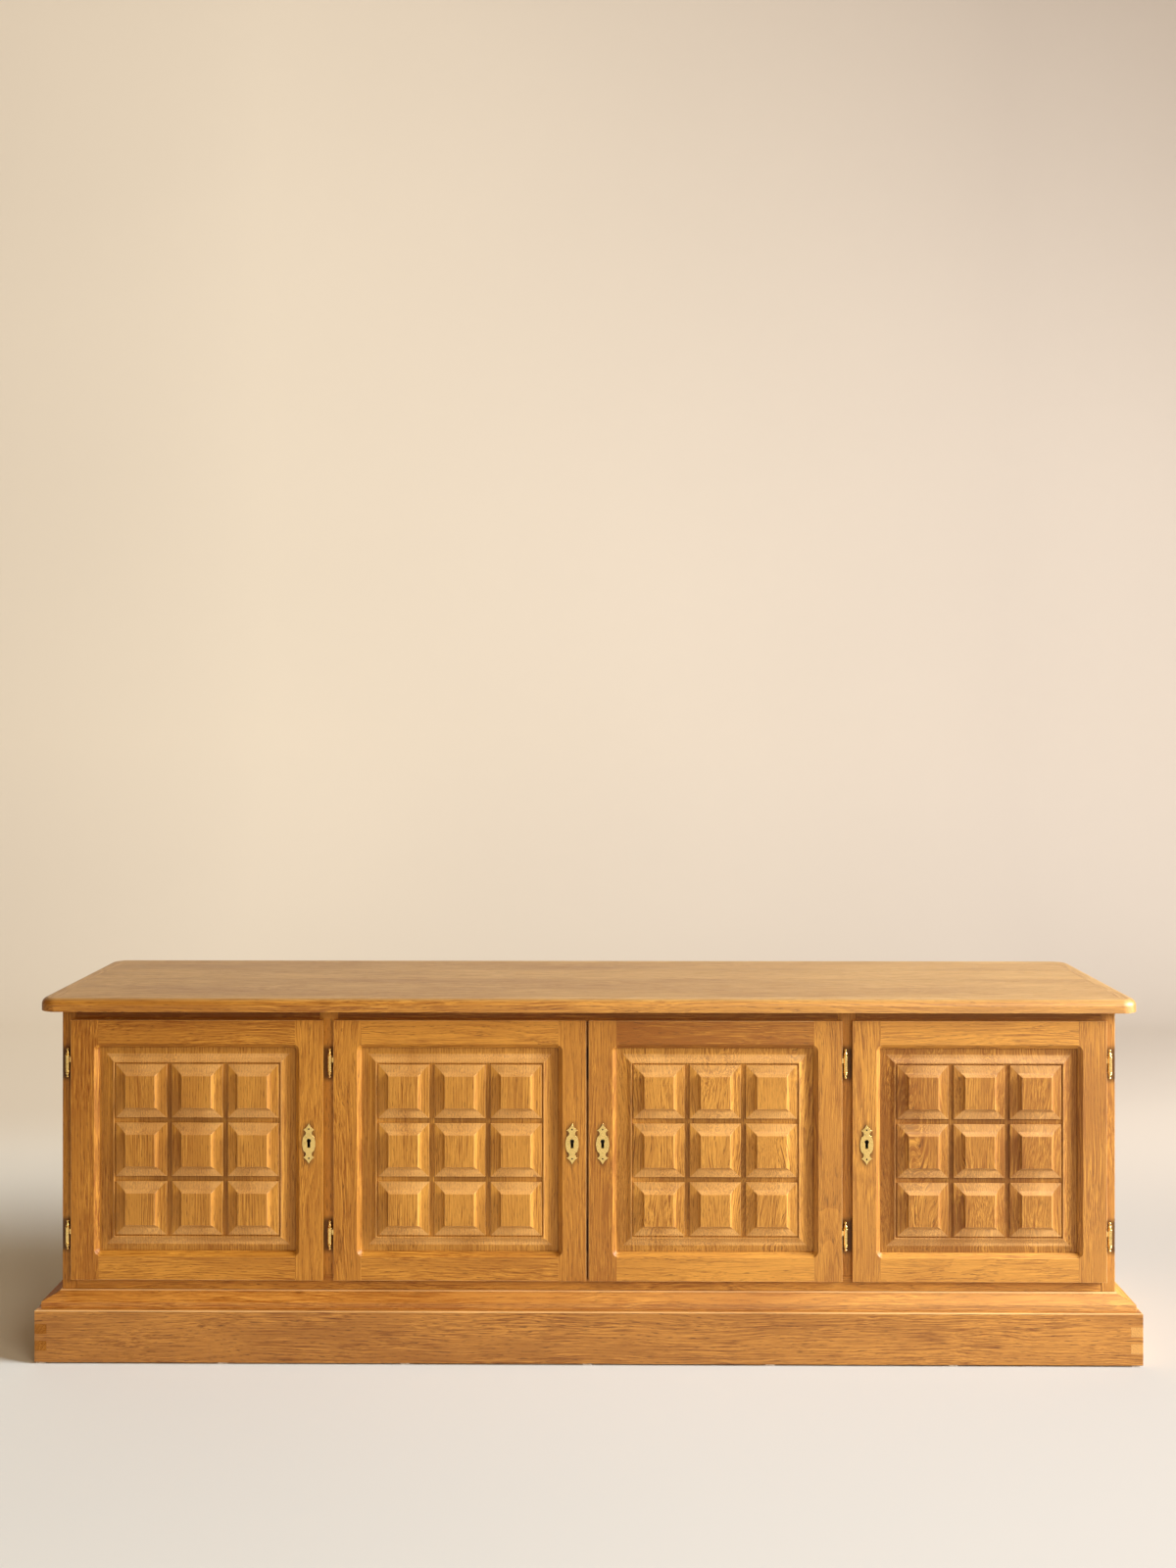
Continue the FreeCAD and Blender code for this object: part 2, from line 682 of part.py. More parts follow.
def make_door(number):
    """One left-hung door. Returns its frame hinge halves, their mortises and its bolt's mortise."""
    left = DOOR_LEFT[number]
    right = f"({left} + {DOOR_WIDTH})"
    top = f"({DOOR_BOTTOM} + {DOOR_HEIGHT})"
    lip = (DOOR_FRONT, LIP_BACK)
    inner = (LIP_BACK, f"{LIP_BACK} + inner_thickness")
    inner_rise = (f"{DOOR_BOTTOM} + {DOOR_REBATE}", f"{top} - {DOOR_REBATE}")
    groove = (f"{LIP_BACK} - tongue_clearance", f"{LIP_BACK} + tongue_thickness + tongue_clearance")
    tongue = (LIP_BACK, f"{LIP_BACK} + tongue_thickness")
    left_edge = f"({left} + stile_width)"
    right_edge = f"({right} - stile_width)"
    lock_edge = f"({right} - {DOOR_REBATE})"
    keyhole_x = f"({right} - stile_width / 2)"
    cutter = make_sticking_cutter(left)
    hinges = [make_hinge(number, "hinge_inset"), make_hinge(number, f"({DOOR_HEIGHT} - hinge_inset)")]
    hinge_stile = cut(
        joined(
            "MultiFuse",
            box((left, left_edge), lip, (DOOR_BOTTOM, top)),
            box((f"{left} + {DOOR_REBATE}", left_edge), inner, inner_rise),
        ),
        box((f"{left_edge} - groove_depth", left_edge), groove, inner_rise),
        cutter,
        *[hinge[2] for hinge in hinges],
    )
    keyhole_top = f"{KEYHOLE} + keyhole_rise"
    keyhole_start = f"({DOOR_FRONT} - 2 * plate_thickness)"
    keyhole_end = f"({LIP_BACK} + lock_cover)"
    keyhole_depth = f"{keyhole_end} - {keyhole_start}"
    round_hole = rod("keyhole_radius", keyhole_depth, (keyhole_x, keyhole_start, keyhole_top), INWARD)
    slot = box(
        around(keyhole_x, "keyhole_slot / 2"),
        (keyhole_start, keyhole_end),
        (f"{KEYHOLE} - keyhole_drop", keyhole_top),
    )
    keyhole = joined("MultiFuse", round_hole, slot)
    case, bolt, recess, mortise = make_lock(lock_edge, keyhole_x)
    lock_stile = cut(
        joined(
            "MultiFuse",
            box((right_edge, right), lip, (DOOR_BOTTOM, top)),
            box((right_edge, lock_edge), inner, inner_rise),
        ),
        box((right_edge, f"{right_edge} + groove_depth"), groove, inner_rise),
        cutter,
        recess,
        keyhole,
    )
    rails = []
    span = (left_edge, right_edge)
    tenon_span = (f"{left_edge} - groove_depth", f"{right_edge} + groove_depth")
    low_edge = f"({DOOR_BOTTOM} + rail_width)"
    high_edge = f"({top} - rail_width)"
    for outside, inside, cut_rise in (
        ((DOOR_BOTTOM, low_edge), (inner_rise[0], low_edge), (f"{low_edge} - groove_depth", low_edge)),
        ((high_edge, top), (high_edge, inner_rise[1]), (high_edge, f"{high_edge} + groove_depth")),
    ):
        rail = joined(
            "MultiFuse",
            box(span, lip, outside),
            box(span, inner, inside),
            box(tenon_span, tongue, inside),
        )
        rails.append(cut(rail, box(tenon_span, groove, cut_rise), cutter))
    parts = {
        "hinge_stile": hinge_stile,
        "lock_stile": lock_stile,
        "rails": joined("Compound", *rails),
        "panel": make_panel(left),
        "hinge_halves": joined("Compound", *[hinge[0] for hinge in hinges]),
        "key_plate": cut(make_key_plate(keyhole_x), keyhole),
        "lock": case,
        "bolt": bolt,
    }
    for name, item in parts.items():
        piece(f"door_{number}_{name}", item)
        piece(f"door_{DOORS + 1 - number}_{name}", mirrored(item))
    return [hinge[1] for hinge in hinges], [hinge[3] for hinge in hinges], mortise


def make_shelf(low, high):
    """One shelf between two walls, and the battens on the walls that carry it."""
    depth = (f"{FRONT} + divider_depth + shelf_setback", f"{BACK} - back_thickness - shelf_clearance")
    level = f"({FLOOR_OF_BAYS} + shelf_height)"
    shelf = box(
        (f"{low} + shelf_clearance", f"{high} - shelf_clearance"),
        depth,
        (level, f"{level} + shelf_thickness"),
    )
    run = (f"{depth[0]} + batten_inset", depth[1])
    rise = (f"{level} - batten_height", level)
    spans = (low, f"{low} + batten_thickness"), (f"{high} - batten_thickness", high)
    return shelf, [box(span, run, rise) for span in spans]


def make_carcass(door_1, door_2):
    """Sides, bottom, rails, partitions, divider stiles, back and shelves, housed into each other."""
    inside = f"({HALF_WIDTH} - side_thickness)"
    half_divider = "divider_width / 2"
    half_partition = "partition_thickness / 2"
    back_face = f"({BACK} - back_thickness)"
    rail_rise = (CEILING, CARCASS_TOP)
    back_reach = f"({inside} + rebate_width)"
    back_panel = box(
        (f"-{back_reach}", back_reach),
        (back_face, BACK),
        (f"{FLOOR_OF_BAYS} - rebate_width", f"{CEILING} + rebate_width"),
    )
    piece("back_panel", back_panel)

    def rail(low, high, *notches):
        tenon = f"({inside} + tenon_margin)"
        whole = joined(
            "MultiFuse",
            box((f"-{inside}", inside), (low, high), rail_rise),
            box((f"-{tenon}", tenon), (f"{low} + tenon_margin", f"{high} - tenon_margin"), rail_rise),
        )
        return cut(whole, *notches)

    stile_span = around(f"-{DIVIDER}", half_divider)
    notch = box(stile_span, (FRONT, f"{FRONT} + halving_depth"), rail_rise)
    front_rail = piece("front_top_rail", rail(FRONT, f"({FRONT} + top_rail_depth)", notch, mirrored(notch)))
    back_rail = piece("back_top_rail", rail(f"({BACK} - top_rail_depth)", BACK, back_panel))
    stile = joined(
        "MultiFuse",
        box(stile_span, (FRONT, f"{FRONT} + divider_depth"), (FLOOR_OF_BAYS, CARCASS_TOP)),
        box(
            around(f"-{DIVIDER}", half_partition),
            (f"{FRONT} + tenon_margin", f"{FRONT} + divider_depth"),
            (f"{FLOOR_OF_BAYS} - housing_depth", FLOOR_OF_BAYS),
        ),
    )
    left_stile = cut(stile, front_rail, *door_2[1], door_1[2])
    piece("left_divider_stile", left_stile)
    piece("right_divider_stile", mirrored(left_stile))

    outer_walls = (f"-{inside}", f"(-{DIVIDER} - {half_partition})")
    inner_walls = (f"(-{DIVIDER} + {half_partition})", f"(-{half_partition})")
    outer_shelf, outer_battens = make_shelf(*outer_walls)
    inner_shelf, inner_battens = make_shelf(*inner_walls)
    shelves = [outer_shelf, inner_shelf]
    battens = outer_battens + inner_battens
    piece("shelves", joined("Compound", *shelves, *[mirrored(shelf) for shelf in shelves]))
    piece("shelf_battens", joined("Compound", *battens, *[mirrored(batten) for batten in battens]))

    partition_rise = (f"{FLOOR_OF_BAYS} - housing_depth", CARCASS_TOP)
    partition_span = around(f"-{DIVIDER}", half_partition)
    left_board = box(partition_span, (f"{FRONT} + divider_depth", back_face), partition_rise)
    left_partition = piece("left_partition", cut(left_board, front_rail, back_rail))
    right_partition = piece("right_partition", mirrored(left_partition))
    centre_board = box(around("0", half_partition), (FRONT, back_face), partition_rise)
    mortises = (door_2[2], mirrored(door_2[2]))
    centre_partition = piece("centre_partition", cut(centre_board, front_rail, back_rail, *mortises))

    tongue = f"({inside} + housing_depth)"
    bottom_rise = (CARCASS_BOTTOM, FLOOR_OF_BAYS)
    bottom = joined(
        "MultiFuse",
        box((f"-{inside}", inside), (FRONT, BACK), bottom_rise),
        box((f"-{tongue}", tongue), (f"{FRONT} + housing_stop", BACK), bottom_rise),
    )
    right_stile = pieces["right_divider_stile"]
    housed = (back_panel, left_stile, right_stile, left_partition, right_partition, centre_partition)
    bottom_board = piece("bottom_board", cut(bottom, *housed))

    side = box((f"-{HALF_WIDTH}", f"-{inside}"), (FRONT, BACK), (CARCASS_BOTTOM, CARCASS_TOP))
    left_side = cut(side, bottom_board, front_rail, back_rail, back_panel, *door_1[1])
    piece("left_side", left_side)
    piece("right_side", mirrored(left_side))
    halves = door_1[0] + door_2[0]
    piece("hinge_frame_halves", joined("Compound", *halves, *[mirrored(half) for half in halves]))


make_top()
make_base()
make_plinth()
make_carcass(make_door(1), make_door(2))
doc.recompute()
for item in doc.Objects:
    if "Invalid" in item.State or "Error" in item.State:
        raise RuntimeError(f"{item.Label} failed: {item.State}")
for name, item in pieces.items():
    if item.Shape.isNull() or not item.Shape.isValid():
        raise RuntimeError(f"{name} has no valid shape")
os.makedirs("parts", exist_ok=True)
for name, item in pieces.items():
    item.Shape.exportStep(f"parts/{name}.step")
    print(name, len(item.Shape.Solids), "solids", round(item.Shape.Volume), "cubic millimetres")
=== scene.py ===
import json
import math
import random

import bmesh
import bpy
from mathutils import Matrix, Vector


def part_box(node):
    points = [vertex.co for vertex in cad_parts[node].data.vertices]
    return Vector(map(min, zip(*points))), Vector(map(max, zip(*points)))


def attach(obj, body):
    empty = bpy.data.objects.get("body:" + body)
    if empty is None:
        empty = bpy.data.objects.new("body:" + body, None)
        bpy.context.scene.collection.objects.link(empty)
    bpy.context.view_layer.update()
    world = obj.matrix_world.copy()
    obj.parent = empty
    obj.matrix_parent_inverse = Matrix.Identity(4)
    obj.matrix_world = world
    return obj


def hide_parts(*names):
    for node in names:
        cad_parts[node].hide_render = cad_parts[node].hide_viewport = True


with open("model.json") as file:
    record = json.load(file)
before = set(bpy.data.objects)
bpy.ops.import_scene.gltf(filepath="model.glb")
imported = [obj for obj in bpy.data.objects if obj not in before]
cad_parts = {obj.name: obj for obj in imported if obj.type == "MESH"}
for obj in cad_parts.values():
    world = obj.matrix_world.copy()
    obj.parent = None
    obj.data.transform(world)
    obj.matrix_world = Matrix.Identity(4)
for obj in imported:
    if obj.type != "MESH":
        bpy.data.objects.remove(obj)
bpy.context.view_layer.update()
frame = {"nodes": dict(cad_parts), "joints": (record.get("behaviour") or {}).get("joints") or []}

bl_info = {
    "name": "Coffered Oak Sideboard",
    "version": (1, 0, 0),
    "blender": (4, 5, 0),
    "location": "View3D > Sidebar > Sideboard",
    "description": "Dresses the packed sideboard: eased oak boards, turned hinges, brass plates, a studio",
    "category": "Object",
}

DOORS = (1, 2, 3, 4)
# The axis along which each board grows, turned onto the upright axis of its pattern
GRAIN_TURNS = {
    "x": (0.0, -math.pi / 2, 0.0),
    "y": (math.pi / 2, 0.0, 0.0),
    "z": (0.0, 0.0, 0.0),
}
# Light wood, dark wood and pores of each kind of board
OAK_PARTS = ("light", "dark", "pore")
OAK_COLOURS = {
    "top": ("#ca8e38", "#8e5211", "#613508"),
    # Paler colours that faces looking up take: painted light and sheen of the top
    "faded_top": ("#cca05a", "#9a6a2f", "#6a4016"),
    "carcass": ("#cb8e36", "#8e5310", "#5e3206"),
    "inside": ("#c39a62", "#8d6432", "#674420"),
    "base": ("#d3933e", "#955410", "#613105"),
    "plinth": ("#c58838", "#7f480f", "#502804"),
    "door": ("#ce9036", "#8e510e", "#5d3205"),
    "panel": ("#d0953d", "#8a4f0d", "#572e02"),
    # Near-black, painted shade for the walls of the keyholes
    "sooted": ("#1a0f06", "#0f0803", "#080401"),
}
# How much lighter or darker than the rest of its kind a board is, and the spread of those not named here
BOARD_TONES = {
    # Painted shade: the rail under the top's overhang is made darker
    "front_top_rail": (-0.24,),
    # Painted light: the divider stiles stand in the shade of the doors and are made lighter
    "left_divider_stile": (0.55,),
    "right_divider_stile": (0.04,),
    "door_1_hinge_stile": (-0.07,),
    "door_1_lock_stile": (0.11,),
    "door_1_rails": (0.07, -0.05),
    "door_1_panel": (0.05,),
    "door_2_hinge_stile": (0.06,),
    "door_2_lock_stile": (0.00,),
    "door_2_rails": (-0.01, 0.14),
    "door_2_panel": (0.11,),
    "door_3_hinge_stile": (-0.04,),
    "door_3_lock_stile": (-0.07,),
    "door_3_rails": (0.18, -0.34),
    "door_3_panel": (0.10,),
    "door_4_hinge_stile": (-0.15,),
    "door_4_lock_stile": (0.02,),
    "door_4_rails": (0.18, 0.10),
    "door_4_panel": (-0.13,),
    "plinth_front": (0.03,),
    "plinth_right": (0.30,),
}
TONE_SPREAD = 0.07
# How far the pith lies from a board's corner, at least and at most, in metres
QUARTERED_PITH = (0.3, 0.5)
PLAIN_PITH = (0.03, 0.12)
# A board comes from anywhere along this length of trunk to either side
TRUNK_REACH = 3
# How far a board of the glued top steps along the trunk and aside, at most, and the spread of its tone
PLANK_STEPS = (0.9, 0.3, 0.4)
PLANK_SPREAD = 0.11
# A wave texture of scale 1 has one ring in this length
WAVE_PERIOD = 0.31416
# What the rings, the patches and a board's tone add to the share of light wood, and where it starts
RING_WEIGHT, PATCH_WEIGHT, TONE_WEIGHT = 0.22, 1.05, 1.6
LEVEL_START = -0.14
# Sheen, and roughness of dark and of light fibres, of boards that are often and seldom polished
OFTEN_POLISHED = {"sheen": 0.5, "gloss": (0.44, 0.34)}
SELDOM_POLISHED = {"sheen": 0.15, "gloss": (0.64, 0.52)}
# Painted sheen of the lamp at the right: where along the front the paler painted colour starts and is
# strongest
PAINTED_SHEEN_SPAN = (-0.7, 1.1)
# Pale colour painted on toward the right as sheen
PAINTED_SHEEN_COLOUR = "#f2d394"
RUBBED_WOOD = "#f0c585"
# Dark brown of dirt and painted shade round hinges and key plates
DIRT_AND_SHADE_COLOUR = "#2a1204"
# Dark brown of old polish and painted shade at the foot of a key plate's rim
POLISH_AND_SHADE_COLOUR = "#4a3413"
TARNISHED_BRASS = "#8a6a2c"
GREY_STEEL = "#3c3833"
BLACK_STEEL = "#1d1a17"
MILKY_PLASTIC = "#efebe1"
SCUFFED_PLASTIC = "#b9b2a2"
# Painted shade with dirt round a hinge: where it starts to fade above and below the middle, how deep it
# goes and its share
HINGE_DIRT_AND_SHADE_REACH = (0.026, 0.042)
HINGE_DIRT_AND_SHADE_DEPTH = (0.0005, 0.003)
HINGE_DIRT_AND_SHADE_SHARE = 0.75
# Painted shade with dirt round a key plate: its reach across, into the wood and upwards, where it fades and
# its share
PLATE_DIRT_AND_SHADE_REACH = (0.017, 0.004, 0.050)
PLATE_DIRT_AND_SHADE_FADE = 0.4
PLATE_DIRT_AND_SHADE_SHARE = 0.7
# Painted shade with dirt in a carved panel's hollows: how far in its fields start, and the depths of its
# grooves and of its border
FIELDS_START = 0.046
GROOVE_DEPTH = 0.0125
BORDER_DEPTH = 0.0165
GROOVE_SHADE_AND_GRIME = 0.5
BORDER_SHADE_AND_GRIME = 0.15
# Painted shade with old polish at a key plate's rim, and how far down the round it starts
RIM_SHADE_AND_POLISH = 0.85
RIM_FOOT = 0.25
# Rubbing of a carved panel's edges, and how much paler than that its slopes are made, known by the tilt of
# their faces
CARVED_RUB = 0.3
SLOPE_PALE = 1.5
SLOPE_TILTS = (0.15, 0.95)

# Slack, in metres, within which points merge, and with which edges, barrels and keyholes are found
MERGE_GAP = 0.00001
EDGE_SLACK = 0.0001
BARREL_SLACK = 0.0006
KEYHOLE_SLACK = 0.0003
# A keyhole's walls are within a plate's width / 3 and height / 4 of its middle, and turn from the front
KEYHOLE_PARTS = (3, 4)
WALL_TILT = 0.5
# Steps of a rounded edge, and how much rounder than at a joint the carcass's edges are
EDGE_STEPS = 3
CARCASS_ROUND = 3
# Angles up to which flat faces are joined, above which edges are eased, and above which shading breaks
JOINED_ANGLE = math.radians(0.6)
EASED_ANGLE = math.radians(28)
BOARD_ANGLE = math.radians(32)
BARREL_ANGLE = math.radians(30)
TURNED_ANGLE = math.radians(50)
TURNED_SIDES = 28
# Radius and height, in millimetres, up the turned end of a hinge: a collar, a bell and a ball
FINIAL_PROFILE = (
    (4.6, -0.2), (4.9, 0.5), (4.9, 1.3), (4.4, 1.9), (3.0, 2.4), (2.8, 3.0), (3.6, 3.8), (3.8, 4.6),
    (3.4, 5.8), (2.7, 7.2), (2.1, 8.6), (1.7, 9.6), (1.9, 10.2), (2.5, 11.0), (2.7, 12.0), (2.4, 13.1),
    (1.6, 14.0), (0.6, 14.5), (0.1, 14.6),
)
# The upper ends are longer than the profile, and the lower ones are shorter and upside down
UPPER_STRETCH = 1.12
LOWER_STRETCH = -0.95
# Radius and height, in millimetres, up the domed head of a nail
NAIL_PROFILE = ((1.7, -0.3), (1.7, 0.1), (1.4, 0.45), (0.8, 0.7), (0.1, 0.8))

# Width and depth of the paper on the floor, its middle, the height to which it hangs and its bend
PAPER_SIZE = (18, 13, 1)
PAPER_MIDDLE = (0, -2.3, 0)
PAPER_RISE = 7
PAPER_BEND = 1.2
PAPER_BEND_STEPS = 24
# Where the paper's changes start and end: its painted shade along the front, from floor to wall, its
# painted glow, and its painted lighter upper end
PAPER_SHADE_SPAN = (-1.6, 2.0)
PAPER_TURN = (0.1, 1.8)
PAPER_PAINTED_GLOW = (0.2, 1.4)
PAPER_PAINTED_LIGHT_RISE = (0.6, 4.6)
# An edge further back than this is the paper's rear one, and one below this height lies on the floor
REAR_EDGE = 1.0
FLOOR_EDGE = 1.0
# Name, setting of its power, place, point that it is turned to and tint of each lamp
LAMPS = (
    ("key_lamp", "key_power", (4.75, -1.4, 2.45), (0, -0.2, 0.4), "#f0f4ff"),
    ("fill_lamp", "fill_power", (2.4, -4.9, 2.9), (0, 0, 0.4), "#ffead0"),
)
SENSOR_WIDTH = 36
# Sockets of a mix node for its share and its two colours, and for the mixed colour
MIX_INPUTS = (0, 6, 7)
MIX_RESULT = 2


def linear(code):
    """A colour for a shader from its sRGB hex code."""
    channels = [int(code[start:start + 2], 16) / 255 for start in (1, 3, 5)]
    return tuple(c / 12.92 if c <= 0.04045 else ((c + 0.055) / 1.055) ** 2.4 for c in channels) + (1.0,)


def opaque(colour):
    """A colour for a shader from a colour that the user may change."""
    return tuple(colour) + (1.0,)


def add_node(tree, kind, inputs=None, out=0, **settings):
    """Add a shader node with its settings, link or set its inputs, and give one of its outputs."""
    node = tree.nodes.new(f"ShaderNode{kind}")
    for name, value in settings.items():
        setattr(node, name, value)
    for key, value in (inputs or {}).items():
        if isinstance(value, bpy.types.NodeSocket):
            tree.links.new(value, node.inputs[key])
        else:
            node.inputs[key].default_value = value
    return node.outputs[out]


def ramp(tree, value, span=(0.0, 1.0), levels=(0.0, 1.0), smooth=False):
    """Map a span of values onto levels, straight or with soft ends; beyond it the end levels hold."""
    return add_node(
        tree, "MapRange",
        {
            "Value": value,
            "From Min": span[0],
            "From Max": span[1],
            "To Min": levels[0],
            "To Max": levels[1],
        },
        interpolation_type="SMOOTHSTEP" if smooth else "LINEAR",
    )


def mix(tree, share, under, over):
    """Lay a share of one colour over another."""
    inputs = dict(zip(MIX_INPUTS, (share, under, over)))
    return add_node(tree, "Mix", inputs, MIX_RESULT, data_type="RGBA")


def calculate(tree, operation, *values, **settings):
    """Work out a value from others."""
    return add_node(tree, "Math", dict(enumerate(values)), operation=operation, **settings)


def noise(tree, place, scale, detail, roughness=0.5, out="Fac"):
    """Soft spots, about one in a metre divided by the scale."""
    inputs = {"Vector": place, "Scale": scale, "Detail": detail, "Roughness": roughness}
    return add_node(tree, "TexNoise", inputs, out)


def new_material(name):
    """An empty node material, with its tree and its shader."""
    material = bpy.data.materials.new(name)
    material.use_nodes = True
    return material, material.node_tree, material.node_tree.nodes["Principled BSDF"]


def shared(name, make, *values):
    """A material by its name, made when the first piece needs it."""
    return bpy.data.materials.get(name) or make(name, *values)


def oak_shades(scene, board):
    """The light wood, the dark wood and the pores of a kind of board."""
    return [opaque(getattr(scene.sideboard_colours, f"{board}_{part}")) for part in OAK_PARTS]


def dirt_and_painted_shade(tree, place, wood, hinges, plates):
    """Darken the wood round hinges and key plates with painted shade, and with the oil, polish and dust
    that gather on the front.
    """
    if hinges:
        front, *heights = hinges
        spot = add_node(tree, "SeparateXYZ", {0: place}).node.outputs
        depths = [front + depth for depth in HINGE_DIRT_AND_SHADE_DEPTH]
        ahead = ramp(tree, spot["Y"], depths, (HINGE_DIRT_AND_SHADE_SHARE, 0.0))
        for height in heights:
            away = calculate(tree, "SUBTRACT", spot["Z"], height)
            away = calculate(tree, "ABSOLUTE", away)
            near = ramp(tree, away, HINGE_DIRT_AND_SHADE_REACH, (1.0, 0.0), smooth=True)
            near = calculate(tree, "MULTIPLY", near, ahead)
            wood = mix(tree, near, wood, linear(DIRT_AND_SHADE_COLOUR))
    if plates:
        # The right-hand doors mirror the left-hand ones
        mirrored = add_node(tree, "VectorMath", {0: place}, operation="ABSOLUTE")
        scale = [1 / reach for reach in PLATE_DIRT_AND_SHADE_REACH]
        for middle in plates:
            offset = [-abs(part) * share for part, share in zip(middle, scale)]
            near = add_node(tree, "Mapping", {"Vector": mirrored, "Location": offset, "Scale": scale})
            near = add_node(tree, "TexGradient", {"Vector": near}, "Fac", gradient_type="SPHERICAL")
            near = ramp(tree, near, (0.0, PLATE_DIRT_AND_SHADE_FADE), (0.0, PLATE_DIRT_AND_SHADE_SHARE))
            wood = mix(tree, near, wood, linear(DIRT_AND_SHADE_COLOUR))
    return wood


def oak(
    name, scene, grain, board, plank=0.0, faded=None, wander=0.05, streaks=0.95, open_pores=0.7,
    sheen=0.3, gloss=(0.50, 0.36), painted_sheen=0.085, hinges=None, plates=(),
):
    """Sawn, planed and oiled oak: warm brown lines along the grain, fine dark pores and a soft sheen.

    The trunk's axis follows the grain, so a board shows lines on its faces and rings on its ends.
    Plank is the width of boards glued side by side and wander how far the lines bend. The upper faces may
    take the paler colours of another kind of board, as painted light and sheen; streaks, open pores and the
    painted sheen at the right-hand end are shares.
    """
    settings = scene.sideboard_oak
    light, dark, pore = oak_shades(scene, board)
    material, tree, shader = new_material(name)
    material["grain"] = grain
    place = add_node(tree, "TexCoord", out="Object")
    shift = add_node(tree, "Attribute", out="Vector", attribute_name="board_shift")
    tone = add_node(tree, "Attribute", out="Fac", attribute_name="board_tone")
    moved = add_node(tree, "VectorMath", {0: place, 1: shift}, operation="ADD")
    if plank:
        # Boards glued edge to edge: each steps to another part of the trunk and has its own tone
        across = add_node(tree, "SeparateXYZ", {0: place}, "Y")
        strip = calculate(tree, "DIVIDE", across, plank)
        strip = calculate(tree, "FLOOR", strip)
        chance = add_node(tree, "TexWhiteNoise", {"W": strip}, noise_dimensions="1D").node
        moved = add_node(
            tree, "VectorMath",
            {0: chance.outputs["Color"], 1: PLANK_STEPS, 2: moved},
            operation="MULTIPLY_ADD",
        )
        tone = calculate(tree, "MULTIPLY_ADD", chance.outputs["Value"], 2 * PLANK_SPREAD, -PLANK_SPREAD)
    trunk = add_node(tree, "Mapping", {"Vector": moved, "Rotation": GRAIN_TURNS[grain]})
    # The trunk wanders by a few centimetres, in swings of about 110 mm by 500 mm, which bends the lines
    slow = add_node(tree, "Mapping", {"Vector": trunk, "Scale": (1.0, 1.0, 0.22)})
    drift = noise(tree, slow, 9.0, 2.0, out="Color")
    bent = add_node(
        tree, "VectorMath", {0: drift, 1: (wander, wander, 0.0), 2: trunk}, operation="MULTIPLY_ADD"
    )
    ring = add_node(
        tree, "TexWave",
        {
            "Vector": bent,
            "Scale": WAVE_PERIOD / settings.ring_width,
            "Distortion": 0.8,
            "Detail": 2.0,
            "Detail Scale": 0.6,
        },
        "Fac",
        wave_type="RINGS",
        rings_direction="Z",
        wave_profile="SAW",
    )
    # Fibre bundles of about 2 mm by 100 mm, drawn coarser than real ones so that they show
    long_fibre = add_node(tree, "Mapping", {"Vector": bent, "Scale": (1.0, 1.0, 0.018)})
    fibre = noise(tree, long_fibre, 1.0 / settings.fibre_width, 3.0, roughness=0.68)
    fibre = ramp(tree, fibre, (0.34, 0.66))
    # Open pores of the early wood, about 1 mm by 19 mm, drawn coarser than real ones so that they show
    long_pore = add_node(tree, "Mapping", {"Vector": bent, "Scale": (1.0, 1.0, 0.07)})
    speck = noise(tree, long_pore, 1.0 / settings.pore_width, 1.0)
    speck = ramp(tree, speck, (0.54, 0.68), smooth=True)
    early = ramp(tree, ring, (0.65, 0.0), (0.25, 1.0), smooth=True)
    pores = calculate(tree, "MULTIPLY", speck, early)
    # Lighter and darker patches of about 70 mm by 320 mm
    patch = noise(tree, slow, 14.0, 2.0)
    # The fibres show strongly in some places and hardly in others, over about 40 mm
    figure = noise(tree, slow, 25.0, 1.0)
    figure = ramp(tree, figure, (0.35, 0.65), (0.3 * streaks, 1.5 * streaks))
    line = calculate(tree, "SUBTRACT", fibre, 0.5)
    # Late wood is light; early wood, dark fibres and dark patches take it down
    level = calculate(tree, "MULTIPLY_ADD", ring, RING_WEIGHT, LEVEL_START)
    level = calculate(tree, "MULTIPLY_ADD", line, figure, level)
    level = calculate(tree, "MULTIPLY_ADD", patch, PATCH_WEIGHT, level)
    level = calculate(tree, "MULTIPLY_ADD", tone, TONE_WEIGHT, level, use_clamp=True)
    if faded:
        # Painted light: the faces that look up take paler colours for the light and sheen that they catch;
        # the edges keep their polish
        normal = add_node(tree, "NewGeometry", out="Normal")
        lit_upward = add_node(tree, "SeparateXYZ", {0: normal}, "Z")
        lit_upward = ramp(tree, lit_upward, (0.55, 0.97), smooth=True)
        light, dark, pore = (
            mix(tree, lit_upward, polished, painted_pale)
            for polished, painted_pale in zip((light, dark, pore), oak_shades(scene, faded))
        )
    wood = mix(tree, level, dark, light)
    strength = calculate(tree, "MULTIPLY", pores, open_pores)
    wood = mix(tree, strength, wood, pore)
    # Painted sheen: toward the lamp at the right, the wood is painted paler
    along = add_node(tree, "SeparateXYZ", {0: place}, "X")
    painted_pale = ramp(tree, along, PAINTED_SHEEN_SPAN, (0.0, painted_sheen), smooth=True)
    wood = mix(tree, painted_pale, wood, linear(PAINTED_SHEEN_COLOUR))
